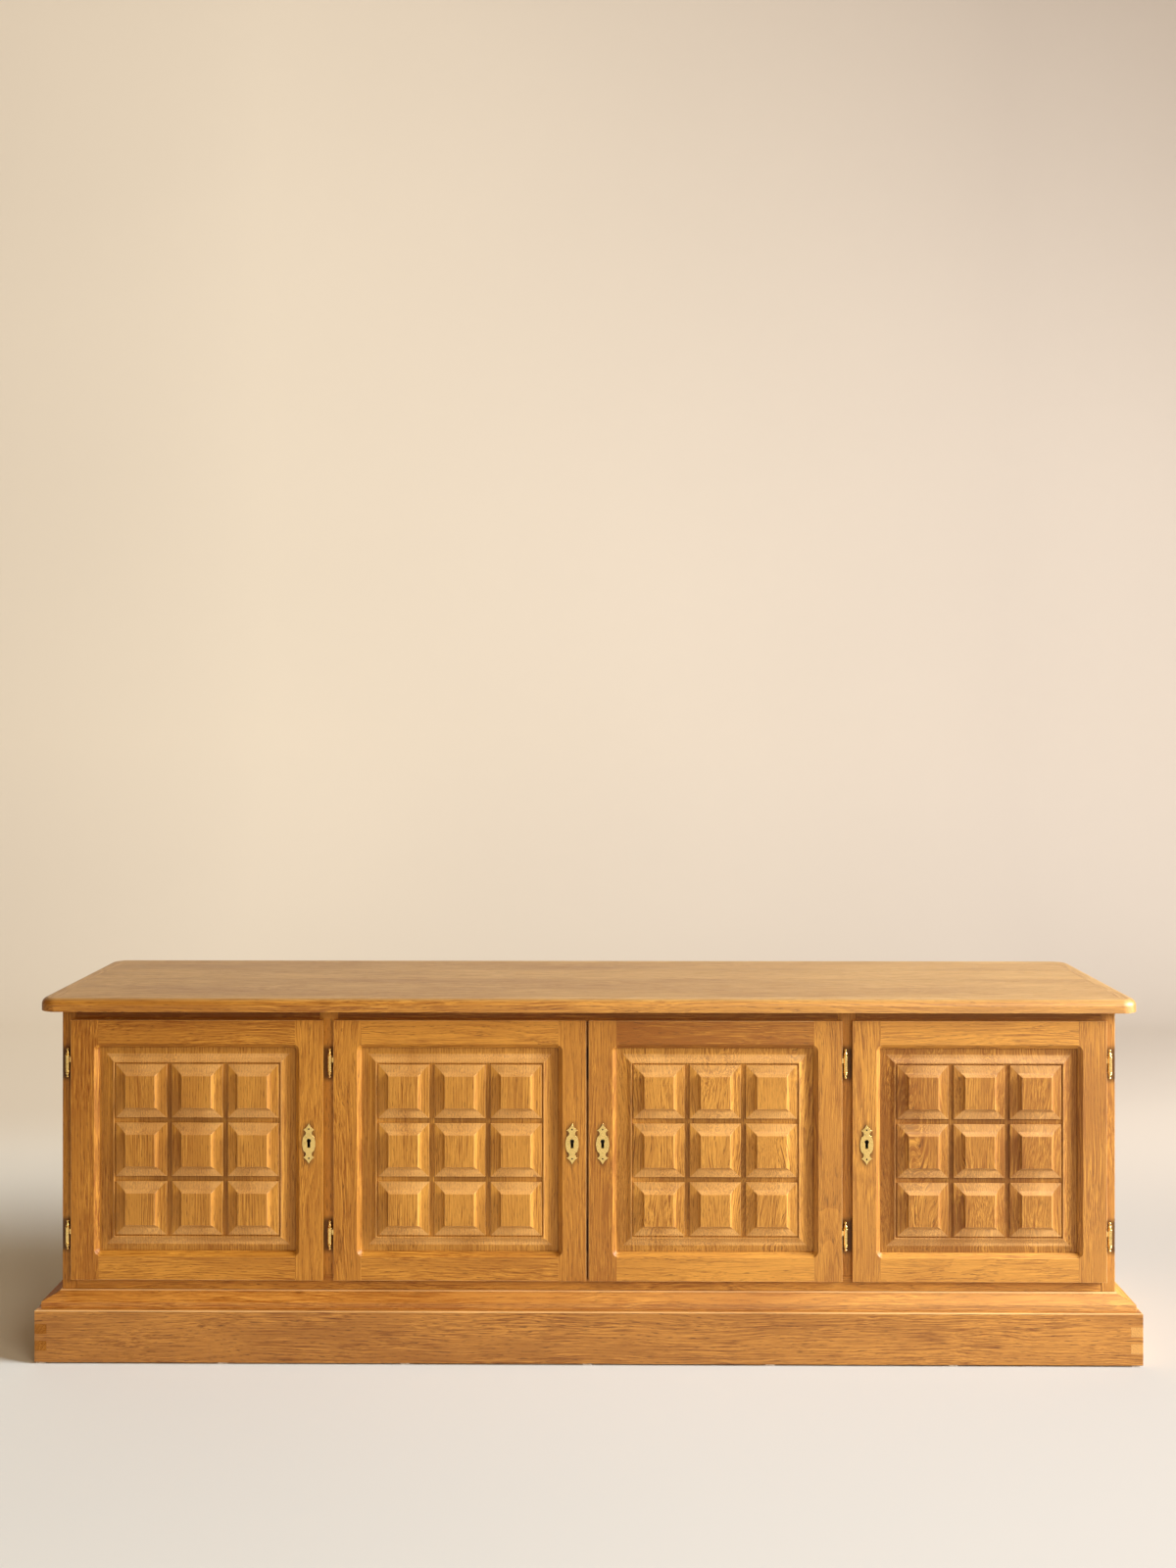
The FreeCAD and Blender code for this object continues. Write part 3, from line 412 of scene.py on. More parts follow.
    # Hands and dusters rub the arrises pale, and slopes tilted up or down are made paler; painted shade,
    # with old polish and dust, stays dark in the grooves
    rub = add_node(tree, "Attribute", out="Fac", attribute_name="edge_rub")
    rub = calculate(tree, "MULTIPLY", rub, patch)
    wood = mix(tree, rub, wood, linear(RUBBED_WOOD))
    grime = add_node(tree, "Attribute", out="Fac", attribute_name="grime")
    wood = mix(tree, grime, wood, pore)
    wood = dirt_and_painted_shade(tree, place, wood, hinges, plates)
    tree.links.new(wood, shader.inputs["Base Color"])
    rough = ramp(tree, fibre, levels=gloss)
    tree.links.new(rough, shader.inputs["Roughness"])
    height = calculate(tree, "MULTIPLY_ADD", pores, -1.0, fibre)
    relief = add_node(tree, "Bump", {"Height": height, "Strength": 0.25, "Distance": 0.0006})
    tree.links.new(relief, shader.inputs["Normal"])
    shader.inputs["Specular IOR Level"].default_value = sheen
    return material


def brass(name, scene):
    """Cast and polished brass: a yellow mirror with faint rub marks, dulled brown in patches."""
    material, tree, shader = new_material(name)
    place = add_node(tree, "TexCoord", out="Object")
    # Tarnish gathers in patches of about 6 mm
    dull = noise(tree, place, 160.0, 3.0)
    dull = ramp(tree, dull, (0.52, 0.75), (0.0, 0.32))
    colour = mix(tree, dull, opaque(scene.sideboard_brass.brass_colour), linear(TARNISHED_BRASS))
    # Painted shade with old polish: darker round the foot of a plate's rim
    grime = add_node(tree, "Attribute", out="Fac", attribute_name="grime")
    colour = mix(tree, grime, colour, linear(POLISH_AND_SHADE_COLOUR))
    tree.links.new(colour, shader.inputs["Base Color"])
    # Rub marks of about 1.5 mm, drawn coarser than real ones so that they show
    rub = noise(tree, place, 700.0, 2.0)
    rough = ramp(tree, rub, (0.3, 0.7), (0.16, 0.32))
    tree.links.new(rough, shader.inputs["Roughness"])
    shader.inputs["Metallic"].default_value = 1.0
    relief = add_node(tree, "Bump", {"Height": dull, "Strength": 0.25, "Distance": 0.0003})
    tree.links.new(relief, shader.inputs["Normal"])
    return material


def blackened_steel(name):
    """Drawn and blackened sheet steel: nearly black, with a fine grain in its gloss and grey patches."""
    material, tree, shader = new_material(name)
    place = add_node(tree, "TexCoord", out="Object")
    # Drawing marks of about 0.7 mm by 12 mm and patches of about 11 mm
    drawn = add_node(tree, "Mapping", {"Vector": place, "Scale": (1.0, 1.0, 0.06)})
    grain = noise(tree, drawn, 1400.0, 2.0)
    stain = noise(tree, place, 90.0, 4.0)
    colour = mix(tree, stain, linear(GREY_STEEL), linear(BLACK_STEEL))
    tree.links.new(colour, shader.inputs["Base Color"])
    rough = ramp(tree, grain, (0.3, 0.7), (0.3, 0.48))
    tree.links.new(rough, shader.inputs["Roughness"])
    shader.inputs["Metallic"].default_value = 1.0
    return material


def moulded_plastic(name):
    """Injection moulded polyethylene: milky white and dull, scuffed grey in places."""
    material, tree, shader = new_material(name)
    place = add_node(tree, "TexCoord", out="Object")
    # Scuffs of about 4.5 mm
    scuff = noise(tree, place, 220.0, 4.0)
    scuff = ramp(tree, scuff, (0.45, 0.75))
    colour = mix(tree, scuff, linear(MILKY_PLASTIC), linear(SCUFFED_PLASTIC))
    tree.links.new(colour, shader.inputs["Base Color"])
    rough = ramp(tree, scuff, levels=(0.42, 0.6))
    tree.links.new(rough, shader.inputs["Roughness"])
    return material


def studio_paper(name, scene):
    """Seamless paper, rolled from wood pulp: matt, with slow changes of tone and no visible fibre.

    The roll has yellowed where it hangs and is cleaner on the floor. Towards the right its colours are
    painted darker, a painted shade where the lamp at the right lights it most.
    Where it hangs it glows, most at the left: painted light, for no lamp shines through it; its upper end
    is painted paler, also painted light.
    """
    settings = scene.sideboard_stage
    material, tree, shader = new_material(name)
    place = add_node(tree, "TexCoord", out="Object")
    along = add_node(tree, "SeparateXYZ", {0: place}).node.outputs
    # Painted shade: towards the right the paper takes darker colours, where the lamp at the right lights it
    # most
    side = ramp(tree, along["X"], PAPER_SHADE_SPAN)
    hung = ramp(tree, along["Y"], PAPER_TURN, smooth=True)
    # Painted light: the hung paper glows, less to the right, though it is no lamp
    painted_glow = ramp(tree, along["Y"], PAPER_PAINTED_GLOW, (0.0, settings.painted_glow), smooth=True)
    weaker = ramp(tree, side, levels=(1.0, 0.2))
    painted_glow = calculate(tree, "MULTIPLY", painted_glow, weaker)
    floor, wall = (
        mix(tree, side, opaque(near), opaque(far))
        for near, far in (
            (settings.floor_colour, settings.shaded_far_floor_colour),
            (settings.wall_colour, settings.shaded_far_wall_colour),
        )
    )
    colour = mix(tree, hung, floor, wall)
    # Clouds of about 1.4 m, and a paler upper end, which is painted light
    cloud = noise(tree, place, 0.7, 1.0)
    shade = ramp(tree, cloud, levels=(0.97, 1.02))
    rise = ramp(tree, along["Z"], PAPER_PAINTED_LIGHT_RISE, (1.0, 1.12))
    shade = calculate(tree, "MULTIPLY", shade, rise)
    colour = add_node(tree, "VectorMath", {0: colour, 1: shade}, operation="MULTIPLY")
    tree.links.new(colour, shader.inputs["Base Color"])
    tree.links.new(colour, shader.inputs["Emission Color"])
    tree.links.new(painted_glow, shader.inputs["Emission Strength"])
    shader.inputs["Roughness"].default_value = 0.9
    shader.inputs["Specular IOR Level"].default_value = 0.1
    return material


def select_only(piece):
    """Make a piece the one selected and active object."""
    bpy.ops.object.select_all(action="DESELECT")
    piece.select_set(True)
    bpy.context.view_layer.objects.active = piece


def apply_modifier(piece, kind, **settings):
    """Add a modifier with its settings and apply it."""
    select_only(piece)
    modifier = piece.modifiers.new(kind.title(), kind)
    for name, value in settings.items():
        setattr(modifier, name, value)
    bpy.ops.object.modifier_apply(modifier=modifier.name)


def pick(piece, kind, is_picked):
    """In edit mode, select the vertices, edges or faces of a piece that pass a test, and no others."""
    bpy.ops.mesh.select_mode(type={"verts": "VERT", "edges": "EDGE", "faces": "FACE"}[kind])
    bpy.ops.mesh.select_all(action="DESELECT")
    mesh = bmesh.from_edit_mesh(piece.data)
    for item in getattr(mesh, kind):
        if is_picked(item):
            item.select_set(True)
    bmesh.update_edit_mesh(piece.data)


def cad_mesh(node):
    """The mesh of a CAD node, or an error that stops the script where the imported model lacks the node."""
    if node not in frame["nodes"]:
        raise RuntimeError(f"The packed model has no node {node}")
    return frame["nodes"][node].data


def cad_copy(node):
    """A new object with a merged copy of a CAD node's mesh, its flat faces joined."""
    piece = bpy.data.objects.new(f"{node}_dressed", cad_mesh(node).copy())
    bpy.context.scene.collection.objects.link(piece)
    select_only(piece)
    bpy.ops.mesh.customdata_custom_splitnormals_clear()
    bpy.ops.object.mode_set(mode="EDIT")
    bpy.ops.mesh.select_all(action="SELECT")
    bpy.ops.mesh.remove_doubles(threshold=MERGE_GAP)
    bpy.ops.mesh.dissolve_limited(angle_limit=JOINED_ANGLE)
    bpy.ops.object.mode_set(mode="OBJECT")
    return piece


def paint_node(node, material):
    """Give a CAD node that stays as it is a finished material."""
    mesh = cad_mesh(node)
    mesh.materials.clear()
    mesh.materials.append(material)


def never_worn(spot, slack):
    """The test for worn edges of a piece that has none."""
    return False


def ease_edges(piece, width, fine, is_worn, fine_rub=0.0):
    """Round the outer edges of a piece, worn ones to a width and others to a fine one.

    How rubbed each round is, and how much paler each slope is made, goes into an attribute.
    """
    mesh = bmesh.new()
    mesh.from_mesh(piece.data)
    weights = mesh.edges.layers.float.new("bevel_weight_edge")
    for edge in mesh.edges:
        if edge.is_convex and edge.calc_face_angle(0.0) > EASED_ANGLE:
            middle = (edge.verts[0].co + edge.verts[1].co) / 2
            edge[weights] = 1.0 if is_worn(middle, EDGE_SLACK) else fine / width
    mesh.to_mesh(piece.data)
    mesh.free()
    # The rounds get a second slot for a moment, so that they can be told from the other faces
    piece.data.materials.clear()
    for _ in range(2):
        piece.data.materials.append(None)
    apply_modifier(
        piece, "BEVEL", width=width, segments=EDGE_STEPS, limit_method="WEIGHT", use_clamp_overlap=True,
        material=1,
    )
    rubbed = []
    for face in piece.data.polygons:
        share = 1.0 if is_worn(face.center, width) else fine_rub
        is_slope = SLOPE_TILTS[0] < abs(face.normal.z) < SLOPE_TILTS[1]
        slope = SLOPE_PALE * fine_rub if is_slope else 0.0
        rubbed.append(share if face.material_index else slope)
        face.material_index = 0
    rub = piece.data.attributes.new("edge_rub", "FLOAT", "FACE")
    rub.data.foreach_set("value", rubbed)
    select_only(piece)
    bpy.ops.object.shade_smooth_by_angle(angle=BOARD_ANGLE)
    apply_modifier(piece, "WEIGHTED_NORMAL", keep_sharp=True)


def mark_boards(piece, node, grain, quartered):
    """Give each board of a piece its own tone, and a place in the trunk that leaves the pith out.

    A quartered board lies far to the side of the pith, so that its lines run straight.
    """
    mesh = piece.data
    island = list(range(len(mesh.vertices)))

    def root(index):
        while island[index] != index:
            island[index] = island[island[index]]
            index = island[index]
        return index

    for edge in mesh.edges:
        first, second = (root(index) for index in edge.vertices)
        island[first] = second
    owners = [root(index) for index in range(len(island))]
    members = {board: [] for board in sorted(set(owners))}
    for owner, vert in zip(owners, mesh.vertices):
        members[owner].append(vert.co)
    tones = BOARD_TONES.get(node, ())
    chance = random.Random(node)
    run = "xyz".index(grain)
    first, second = (axis for axis in range(3) if axis != run)
    shifts = {}
    levels = {}
    for order, (board, spots) in enumerate(members.items()):
        low = [min(spot[axis] for spot in spots) for axis in range(3)]
        high = [max(spot[axis] for spot in spots) for axis in range(3)]
        shift = [-(low[axis] + high[axis]) / 2 for axis in range(3)]
        angle = 0.0 if quartered else chance.uniform(0, 2 * math.pi)
        reach = math.hypot(high[first] - low[first], high[second] - low[second]) / 2
        reach += chance.uniform(*(QUARTERED_PITH if quartered else PLAIN_PITH))
        shift[first] += reach * math.cos(angle)
        shift[second] += reach * math.sin(angle)
        shift[run] += chance.uniform(-TRUNK_REACH, TRUNK_REACH)
        shifts[board] = shift
        levels[board] = tones[order % len(tones)] if tones else chance.uniform(-TONE_SPREAD, TONE_SPREAD)
    places = mesh.attributes.new("board_shift", "FLOAT_VECTOR", "POINT")
    places.data.foreach_set("vector", [part for board in owners for part in shifts[board]])
    level = mesh.attributes.new("board_tone", "FLOAT", "POINT")
    level.data.foreach_set("value", [levels[board] for board in owners])


def mark_shade_and_grime(piece, share_at):
    """Mark how much painted shade and dirt each point of a piece gets, by a function that gives its share.
    """
    shares = [share_at(vert.co) for vert in piece.data.vertices]
    grime = piece.data.attributes.new("grime", "FLOAT", "POINT")
    grime.data.foreach_set("value", shares)


def finish_piece(piece, node, body, material):
    """Give a dressed copy its material, and let it stand for its node and move with its body."""
    piece.data.materials.clear()
    piece.data.materials.append(material)
    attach(piece, body)
    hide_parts(node)
    return piece


def dress_board(node, body, material, width, fine, is_worn, fine_rub=0.0, quartered=False):
    """A board of the CAD model with eased edges and a place of its own in the trunk."""
    piece = cad_copy(node)
    ease_edges(piece, width, fine, is_worn, fine_rub)
    mark_boards(piece, node, material["grain"], quartered)
    return finish_piece(piece, node, body, material)


def paint_keyhole_shade(board, plate, material):
    """Give the walls of a stile's keyhole, behind its plate, a near-black material: painted shade of the
    hole.
    """
    board.data.materials.append(material)
    low, high = plate
    middle = (low + high) / 2
    for face in board.data.polygons:
        across = abs(face.center.x - middle.x) < (high.x - low.x) / KEYHOLE_PARTS[0]
        level = abs(face.center.z - middle.z) < (high.z - low.z) / KEYHOLE_PARTS[1]
        is_wall = abs(face.normal.y) < WALL_TILT
        if across and level and is_wall and face.center.y > high.y + KEYHOLE_SLACK:
            face.material_index = 1


def turned_piece(name, profile):
    """A turned piece on the upright axis: a disc drawn up through the radii and heights of a profile."""
    steps = [(radius / 1000, height / 1000) for radius, height in profile]
    bpy.ops.object.select_all(action="DESELECT")
    bpy.ops.mesh.primitive_circle_add(
        vertices=TURNED_SIDES, radius=steps[0][0], fill_type="NGON", location=(0, 0, steps[0][1])
    )
    piece = bpy.context.object
    piece.name = name
    bpy.ops.object.transform_apply(location=True, rotation=False, scale=False)
    bpy.ops.object.mode_set(mode="EDIT")
    bpy.ops.mesh.select_all(action="SELECT")
    for (before, low), (after, high) in zip(steps, steps[1:]):
        bpy.ops.mesh.extrude_region_move(TRANSFORM_OT_translate={"value": (0, 0, high - low)})
        share = after / before
        bpy.ops.transform.resize(value=(share, share, 1), center_override=(0, 0, high))
    bpy.ops.mesh.select_all(action="SELECT")
    bpy.ops.mesh.normals_make_consistent(inside=False)
    bpy.ops.object.mode_set(mode="OBJECT")
    bpy.ops.object.shade_smooth_by_angle(angle=TURNED_ANGLE)
    return piece


def place_copies(pattern, turns):
    """Copies of a modelled piece, each with its own mesh, at the given turns and places."""
    copies = []
    for turn in turns:
        copy = bpy.data.objects.new(pattern.name, pattern.data.copy())
        copy.data.transform(turn)
        if turn.determinant() < 0:
            copy.data.flip_normals()
        bpy.context.scene.collection.objects.link(copy)
        copies.append(copy)
    return copies


def join_pieces(first, others):
    """Join other objects into the first one."""
    select_only(first)
    for other in others:
        other.select_set(True)
    bpy.ops.object.join()
    return first


def hinge_heights(scene, number):
    """The heights at which the two halves of a door's lower and upper hinge meet."""
    low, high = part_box(f"door_{number}_hinge_stile")
    inset = scene.sideboard_brass.hinge_inset
    return low.z + inset, high.z - inset


def barrels(node, heights, length):
    """The barrels and leaves of hinge halves, with their plain pointed ends cut off and closed."""
    piece = cad_copy(node)
    reach = length + BARREL_SLACK
    bpy.ops.object.mode_set(mode="EDIT")
    pick(piece, "verts", lambda vert: min(abs(vert.co.z - z) for z in heights) > reach)
    bpy.ops.mesh.delete(type="VERT")
    bpy.ops.mesh.select_all(action="SELECT")
    bpy.ops.mesh.fill_holes(sides=0)
    bpy.ops.object.mode_set(mode="OBJECT")
    bpy.ops.object.shade_smooth_by_angle(angle=BARREL_ANGLE)
    return piece


def colour_setting(name, description, code):
    """A colour that the user may change, from its sRGB hex code."""
    return bpy.props.FloatVectorProperty(
        name=name, description=description, subtype="COLOR", default=linear(code)[:3]
    )


def length_setting(name, description, metres):
    """A length that the user may change."""
    return bpy.props.FloatProperty(name=name, description=description, default=metres, unit="LENGTH")


class OakSettings(bpy.types.PropertyGroup):
    """Sizes of the oak's grain and of its rounded edges"""

    ring_width: length_setting("Ring Width", "Growth of the trunk in one year", 0.0055)
    fibre_width: length_setting("Fibre Width", "Width of a bundle of fibres", 0.0018)
    pore_width: length_setting("Pore Width", "Width of an open pore", 0.0013)
    plank_width: length_setting("Plank Width", "Width of the boards glued up for the top", 0.107)
    worn_edge: length_setting("Worn Edge", "Round of an edge that hands reach", 0.0022)
    joint_edge: length_setting("Joint Edge", "Round of an edge at a joint", 0.0004)
    carved_edge: length_setting("Carved Edge", "Round of an edge of a carved panel", 0.0011)


class OakColours(bpy.types.PropertyGroup):
    """Light wood, dark wood and pores of each kind of board"""

    __annotations__ = {
        f"{board}_{part}": colour_setting(
            f"{board} {part}".replace("_", " ").title(),
            f"Colour of the {part} parts of the {board.replace('_', ' ')} oak",
            code,
        )
        for board, codes in OAK_COLOURS.items()
        for part, code in zip(OAK_PARTS, codes)
    }


class BrassSettings(bpy.types.PropertyGroup):
    """Colour and sizes of the hinges and key plates"""

    brass_colour: colour_setting("Brass", "Colour of the polished brass", "#fbd988")
    nail_inset: length_setting("Nail Inset", "From a plate's tip to its nail", 0.0115)
    plate_round: length_setting("Plate Round", "Round of the rim of a cast plate", 0.0008)
    hinge_inset: length_setting("Hinge Inset", "From a door's end to the middle of a hinge", 0.088)
    barrel_length: length_setting("Barrel Length", "Length of one half of a hinge's barrel", 0.0151)


class StageSettings(bpy.types.PropertyGroup):
    """The paper, the lamps and the camera"""

    wall_colour: colour_setting("Wall", "Hung paper at the left", "#cbc0ab")
    # Painted shade: the hung paper's colour at the right is darker
    shaded_far_wall_colour: colour_setting("Far Wall", "Hung paper at the right", "#c0b5a4")
    floor_colour: colour_setting("Floor", "Paper on the floor at the left", "#ebede2")
    # Painted shade: the floor paper's colour at the right is darker
    shaded_far_floor_colour: colour_setting("Far Floor", "Paper on the floor at the right", "#90877b")
    room_colour: colour_setting("Room", "Light that the room throws back", "#ffbf7c")
    room_strength: bpy.props.FloatProperty(
        name="Room Strength", description="Strength of the light that the room throws back", default=0.165
    )
    # Painted light: the glow of the hung paper, which is no lamp
    painted_glow: bpy.props.FloatProperty(
        name="Glow", description="Light from behind the hung paper", default=0.45, min=0.0
    )
    key_power: bpy.props.FloatProperty(
        name="Key Light", description="Power of the lamp at the right", default=770.0, unit="POWER"
    )
    fill_power: bpy.props.FloatProperty(
        name="Fill Light", description="Power of the lamp in front", default=128.0, unit="POWER"
    )
    lamp_size: length_setting("Lamp Size", "Side of the square face of a lamp", 2.4)
    camera_place: bpy.props.FloatVectorProperty(
        name="Camera", description="Place of the camera", subtype="TRANSLATION",
        default=(0.0260, -3.3243, 1.2928),
    )
    camera_turn: bpy.props.FloatProperty(
        name="Camera Turn", description="Turn of the level camera to the left", subtype="ANGLE",
        default=math.radians(0.457),
    )
    camera_shift: bpy.props.FloatProperty(
        name="Camera Shift", description="Upward shift of the frame, as a share of it", default=-0.04475
    )
    lens: bpy.props.FloatProperty(
        name="Lens", description="Focal length on a 36 mm frame", default=35.58, subtype="DISTANCE_CAMERA"
    )


class SIDEBOARD_OT_top(bpy.types.Operator):
    """Dress the jointed top and its four lippings"""

    bl_idname = "sideboard.top"
    bl_label = "Top"

    def execute(self, context):
        scene = context.scene
        finish = {"faded": "faded_top", **OFTEN_POLISHED}
        plank = scene.sideboard_oak.plank_width
        field = oak("Oiled oak, top boards", scene, "x", "top", plank=plank, painted_sheen=0.07, **finish)
        long_edge = oak("Oiled oak, long lipping", scene, "x", "top", painted_sheen=0.14, **finish)
        cross_edge = oak("Oiled oak, end lipping", scene, "y", "top", painted_sheen=0.07, **finish)
        joint = scene.sideboard_oak.joint_edge
        for node, material in (
            ("top_field", field),
            ("top_front_lipping", long_edge),
            ("top_back_lipping", long_edge),
            ("top_left_lipping", cross_edge),
            ("top_right_lipping", cross_edge),
        ):
            dress_board(node, "carcass", material, joint, joint, never_worn)
        return {"FINISHED"}


class SIDEBOARD_OT_carcass(bpy.types.Operator):
    """Dress the sides, the rails, the divider stiles and the boards between them"""

    bl_idname = "sideboard.carcass"
    bl_label = "Carcass"

    def execute(self, context):
        scene = context.scene
        hinges = (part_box("left_side")[0].y, *hinge_heights(scene, DOORS[0]))
        upright = oak("Oiled oak, upright boards", scene, "z", "carcass", hinges=hinges)
        long_rail = oak("Oiled oak, long boards", scene, "x", "carcass")
        width = CARCASS_ROUND * scene.sideboard_oak.joint_edge
        for node, material in (
            ("left_side", upright),
            ("right_side", upright),
            ("left_divider_stile", upright),
            ("right_divider_stile", upright),
            ("front_top_rail", long_rail),
            ("bottom_board", long_rail),
            ("centre_partition", upright),
        ):
            dress_board(node, "carcass", material, width, width, never_worn)
        return {"FINISHED"}


class SIDEBOARD_OT_inside(bpy.types.Operator):
    """Finish the partitions, the shelves on their battens and the back"""

    bl_idname = "sideboard.inside"
    bl_label = "Inside"

    def execute(self, context):
        inside = oak("Waxed oak, inner boards", context.scene, "z", "inside")
        shelf = oak("Waxed oak, shelves", context.scene, "x", "inside")
        for node in ("left_partition", "right_partition"):
            paint_node(node, inside)
        for node in ("shelves", "shelf_battens", "back_top_rail", "back_panel"):
            paint_node(node, shelf)
        return {"FINISHED"}


class SIDEBOARD_OT_base(bpy.types.Operator):
    """Dress the moulded base and the plinth"""

    bl_idname = "sideboard.base"
    bl_label = "Base and Plinth"

    def execute(self, context):
        scene = context.scene
        worn, joint = scene.sideboard_oak.worn_edge, scene.sideboard_oak.joint_edge
        for kind, run, grain, sides, painted_sheen, polish in (
            ("base", "long", "x", ("front", "back"), 0.17, OFTEN_POLISHED),
            ("base", "end", "y", ("left", "right"), 0.06, SELDOM_POLISHED),
            ("plinth", "long", "x", ("front", "back"), 0.03, OFTEN_POLISHED),
            ("plinth", "end", "y", ("left", "right"), 0.2, SELDOM_POLISHED),
        ):
            material = oak(
                f"Oiled oak, {run} {kind}", scene, grain, kind,
                streaks=1.1, open_pores=0.8, painted_sheen=painted_sheen, **polish,
            )
            for side in sides:
                node = f"{kind}_{side}"
                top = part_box(node)[1].z

                def is_worn(spot, slack):
                    return abs(spot.z - top) < slack

                dress_board(node, "carcass", material, worn, joint, is_worn)
        return {"FINISHED"}


class SIDEBOARD_OT_glides(bpy.types.Operator):
    """Finish the glides below the plinth"""

    bl_idname = "sideboard.glides"
    bl_label = "Glides"

    def execute(self, context):
        paint_node("glides", moulded_plastic("Moulded polyethylene"))
        return {"FINISHED"}


class SIDEBOARD_OT_doors(bpy.types.Operator):
    """Dress the frames and the coffered panels of the four doors"""

    bl_idname = "sideboard.doors"
    bl_label = "Doors"

    def execute(self, context):
        scene = context.scene
        settings = scene.sideboard_oak
        worn, joint, carved = settings.worn_edge, settings.joint_edge, settings.carved_edge
        plates = []
        for number in DOORS[:2]:
            low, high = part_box(f"door_{number}_key_plate")
            plates.append(((low.x + high.x) / 2, high.y, (low.z + high.z) / 2))
        upright = oak("Oiled oak, door stiles", scene, "z", "door", plates=plates)
        long_rail = oak("Oiled oak, door rails", scene, "x", "door")
        # Near-black oak: painted shade inside the keyholes
        sooted = oak("Sooted oak, keyholes", scene, "z", "sooted")
        straight = oak(
            "Oiled oak, straight carved panels", scene, "z", "panel", wander=0.02, streaks=0.75, painted_sheen=0.05
        )
        wild = oak(
            "Oiled oak, wild carved panels", scene, "z", "panel",
            wander=0.11, streaks=1.15, open_pores=0.8, painted_sheen=0.05,
        )
        for number in DOORS:
            body = f"door_{number}"
            low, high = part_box(f"{body}_hinge_stile")
            other_low, other_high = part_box(f"{body}_lock_stile")
            left = min(low.x, other_low.x)
            right = max(high.x, other_high.x)

            def is_worn(spot, slack):
                at_front = abs(spot.y - low.y) < slack
                at_side = min(abs(spot.x - left), abs(spot.x - right)) < slack
                at_end = min(abs(spot.z - low.z), abs(spot.z - high.z)) < slack
                return at_front and (at_side or at_end)

            for part, material in (("hinge_stile", upright), ("lock_stile", upright), ("rails", long_rail)):
                board = dress_board(f"{body}_{part}", body, material, worn, joint, is_worn)
                if part == "lock_stile":
                    paint_keyhole_shade(board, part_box(f"{body}_key_plate"), sooted)
            panel = dress_board(
                f"{body}_panel", body, straight if number in DOORS[:2] else wild,
                carved, carved, never_worn, fine_rub=CARVED_RUB, quartered=True,
            )
            inner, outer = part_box(f"{body}_panel")

            # Painted shade with dirt: darker in the grooves between the fields and at the deep border
            def shade_and_grime_share(spot):
                inside = min(spot.x - inner.x, outer.x - spot.x, spot.z - inner.z, outer.z - spot.z)
                deep = spot.y - inner.y
                if inside > FIELDS_START and deep > GROOVE_DEPTH:
                    return GROOVE_SHADE_AND_GRIME
                return BORDER_SHADE_AND_GRIME if deep > BORDER_DEPTH else 0.0

            mark_shade_and_grime(panel, shade_and_grime_share)
        return {"FINISHED"}


class SIDEBOARD_OT_hinges(bpy.types.Operator):
    """Turn the ends of the hinges and set them on the barrels"""

    bl_idname = "sideboard.hinges"
    bl_label = "Hinges"

    def execute(self, context):
        scene = context.scene
        length = scene.sideboard_brass.barrel_length
        polished = shared("Polished brass", brass, scene)
        finial = turned_piece("finial", FINIAL_PROFILE)
        joints = {joint["child"]: joint for joint in frame["joints"]}
        lower_ends = []
        for number in DOORS:
            body = f"door_{number}"
            axis = Vector(joints[body]["pos_m"])
            heights = hinge_heights(scene, number)
            up, down = (
                [
                    Matrix.Translation((axis.x, axis.y, height + rise))
                    @ Matrix.Scale(stretch, 4, (0, 0, 1))
                    for height in heights
                ]
                for rise, stretch in ((length, UPPER_STRETCH), (-length, LOWER_STRETCH))
            )
            lower_ends += place_copies(finial, down)
            halves = barrels(f"{body}_hinge_halves", heights, length)
            join_pieces(halves, place_copies(finial, up))
            finish_piece(halves, f"{body}_hinge_halves", body, polished)
        halves = barrels("hinge_frame_halves", hinge_heights(scene, DOORS[0]), length)
        join_pieces(halves, lower_ends)
        finish_piece(halves, "hinge_frame_halves", "carcass", polished)
        bpy.data.objects.remove(finial)
        return {"FINISHED"}


class SIDEBOARD_OT_key_plates(bpy.types.Operator):
    """Round the rims of the key plates and nail them on"""

    bl_idname = "sideboard.key_plates"
    bl_label = "Key Plates"

    def execute(self, context):
        settings = context.scene.sideboard_brass
        polished = shared("Polished brass", brass, context.scene)
        steel = shared("Blackened steel", blackened_steel)
        nail = turned_piece("nail", NAIL_PROFILE)
        outward = Matrix.Rotation(math.pi / 2, 4, "X")
        for number in DOORS:
            body = f"door_{number}"
            node = f"{body}_key_plate"
            plate = cad_copy(node)
            ease_edges(plate, settings.plate_round, settings.plate_round, never_worn)
            low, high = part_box(node)
            # Painted shade with old polish at the foot of the rim, where the plate meets the wood
            foot = low.y + RIM_FOOT * settings.plate_round
            mark_shade_and_grime(plate, lambda spot: RIM_SHADE_AND_POLISH if spot.y > foot else 0.0)
            finish_piece(plate, node, body, polished)
            tips = (low.z + settings.nail_inset, high.z - settings.nail_inset)
            heads = [Matrix.Translation(((low.x + high.x) / 2, low.y, z)) @ outward for z in tips]
            first, second = place_copies(nail, heads)
            nails = join_pieces(first, [second])
            nails.name = f"{body}_plate_nails"
            nails.data.materials.append(steel)
            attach(nails, body)
        bpy.data.objects.remove(nail)
        return {"FINISHED"}


class SIDEBOARD_OT_locks(bpy.types.Operator):
    """Finish the lock cases and their bolts"""

    bl_idname = "sideboard.locks"
    bl_label = "Locks"

    def execute(self, context):
        polished = shared("Polished brass", brass, context.scene)
        steel = shared("Blackened steel", blackened_steel)
        for number in DOORS:
            paint_node(f"door_{number}_lock", steel)
            paint_node(f"door_{number}_bolt", polished)
        return {"FINISHED"}


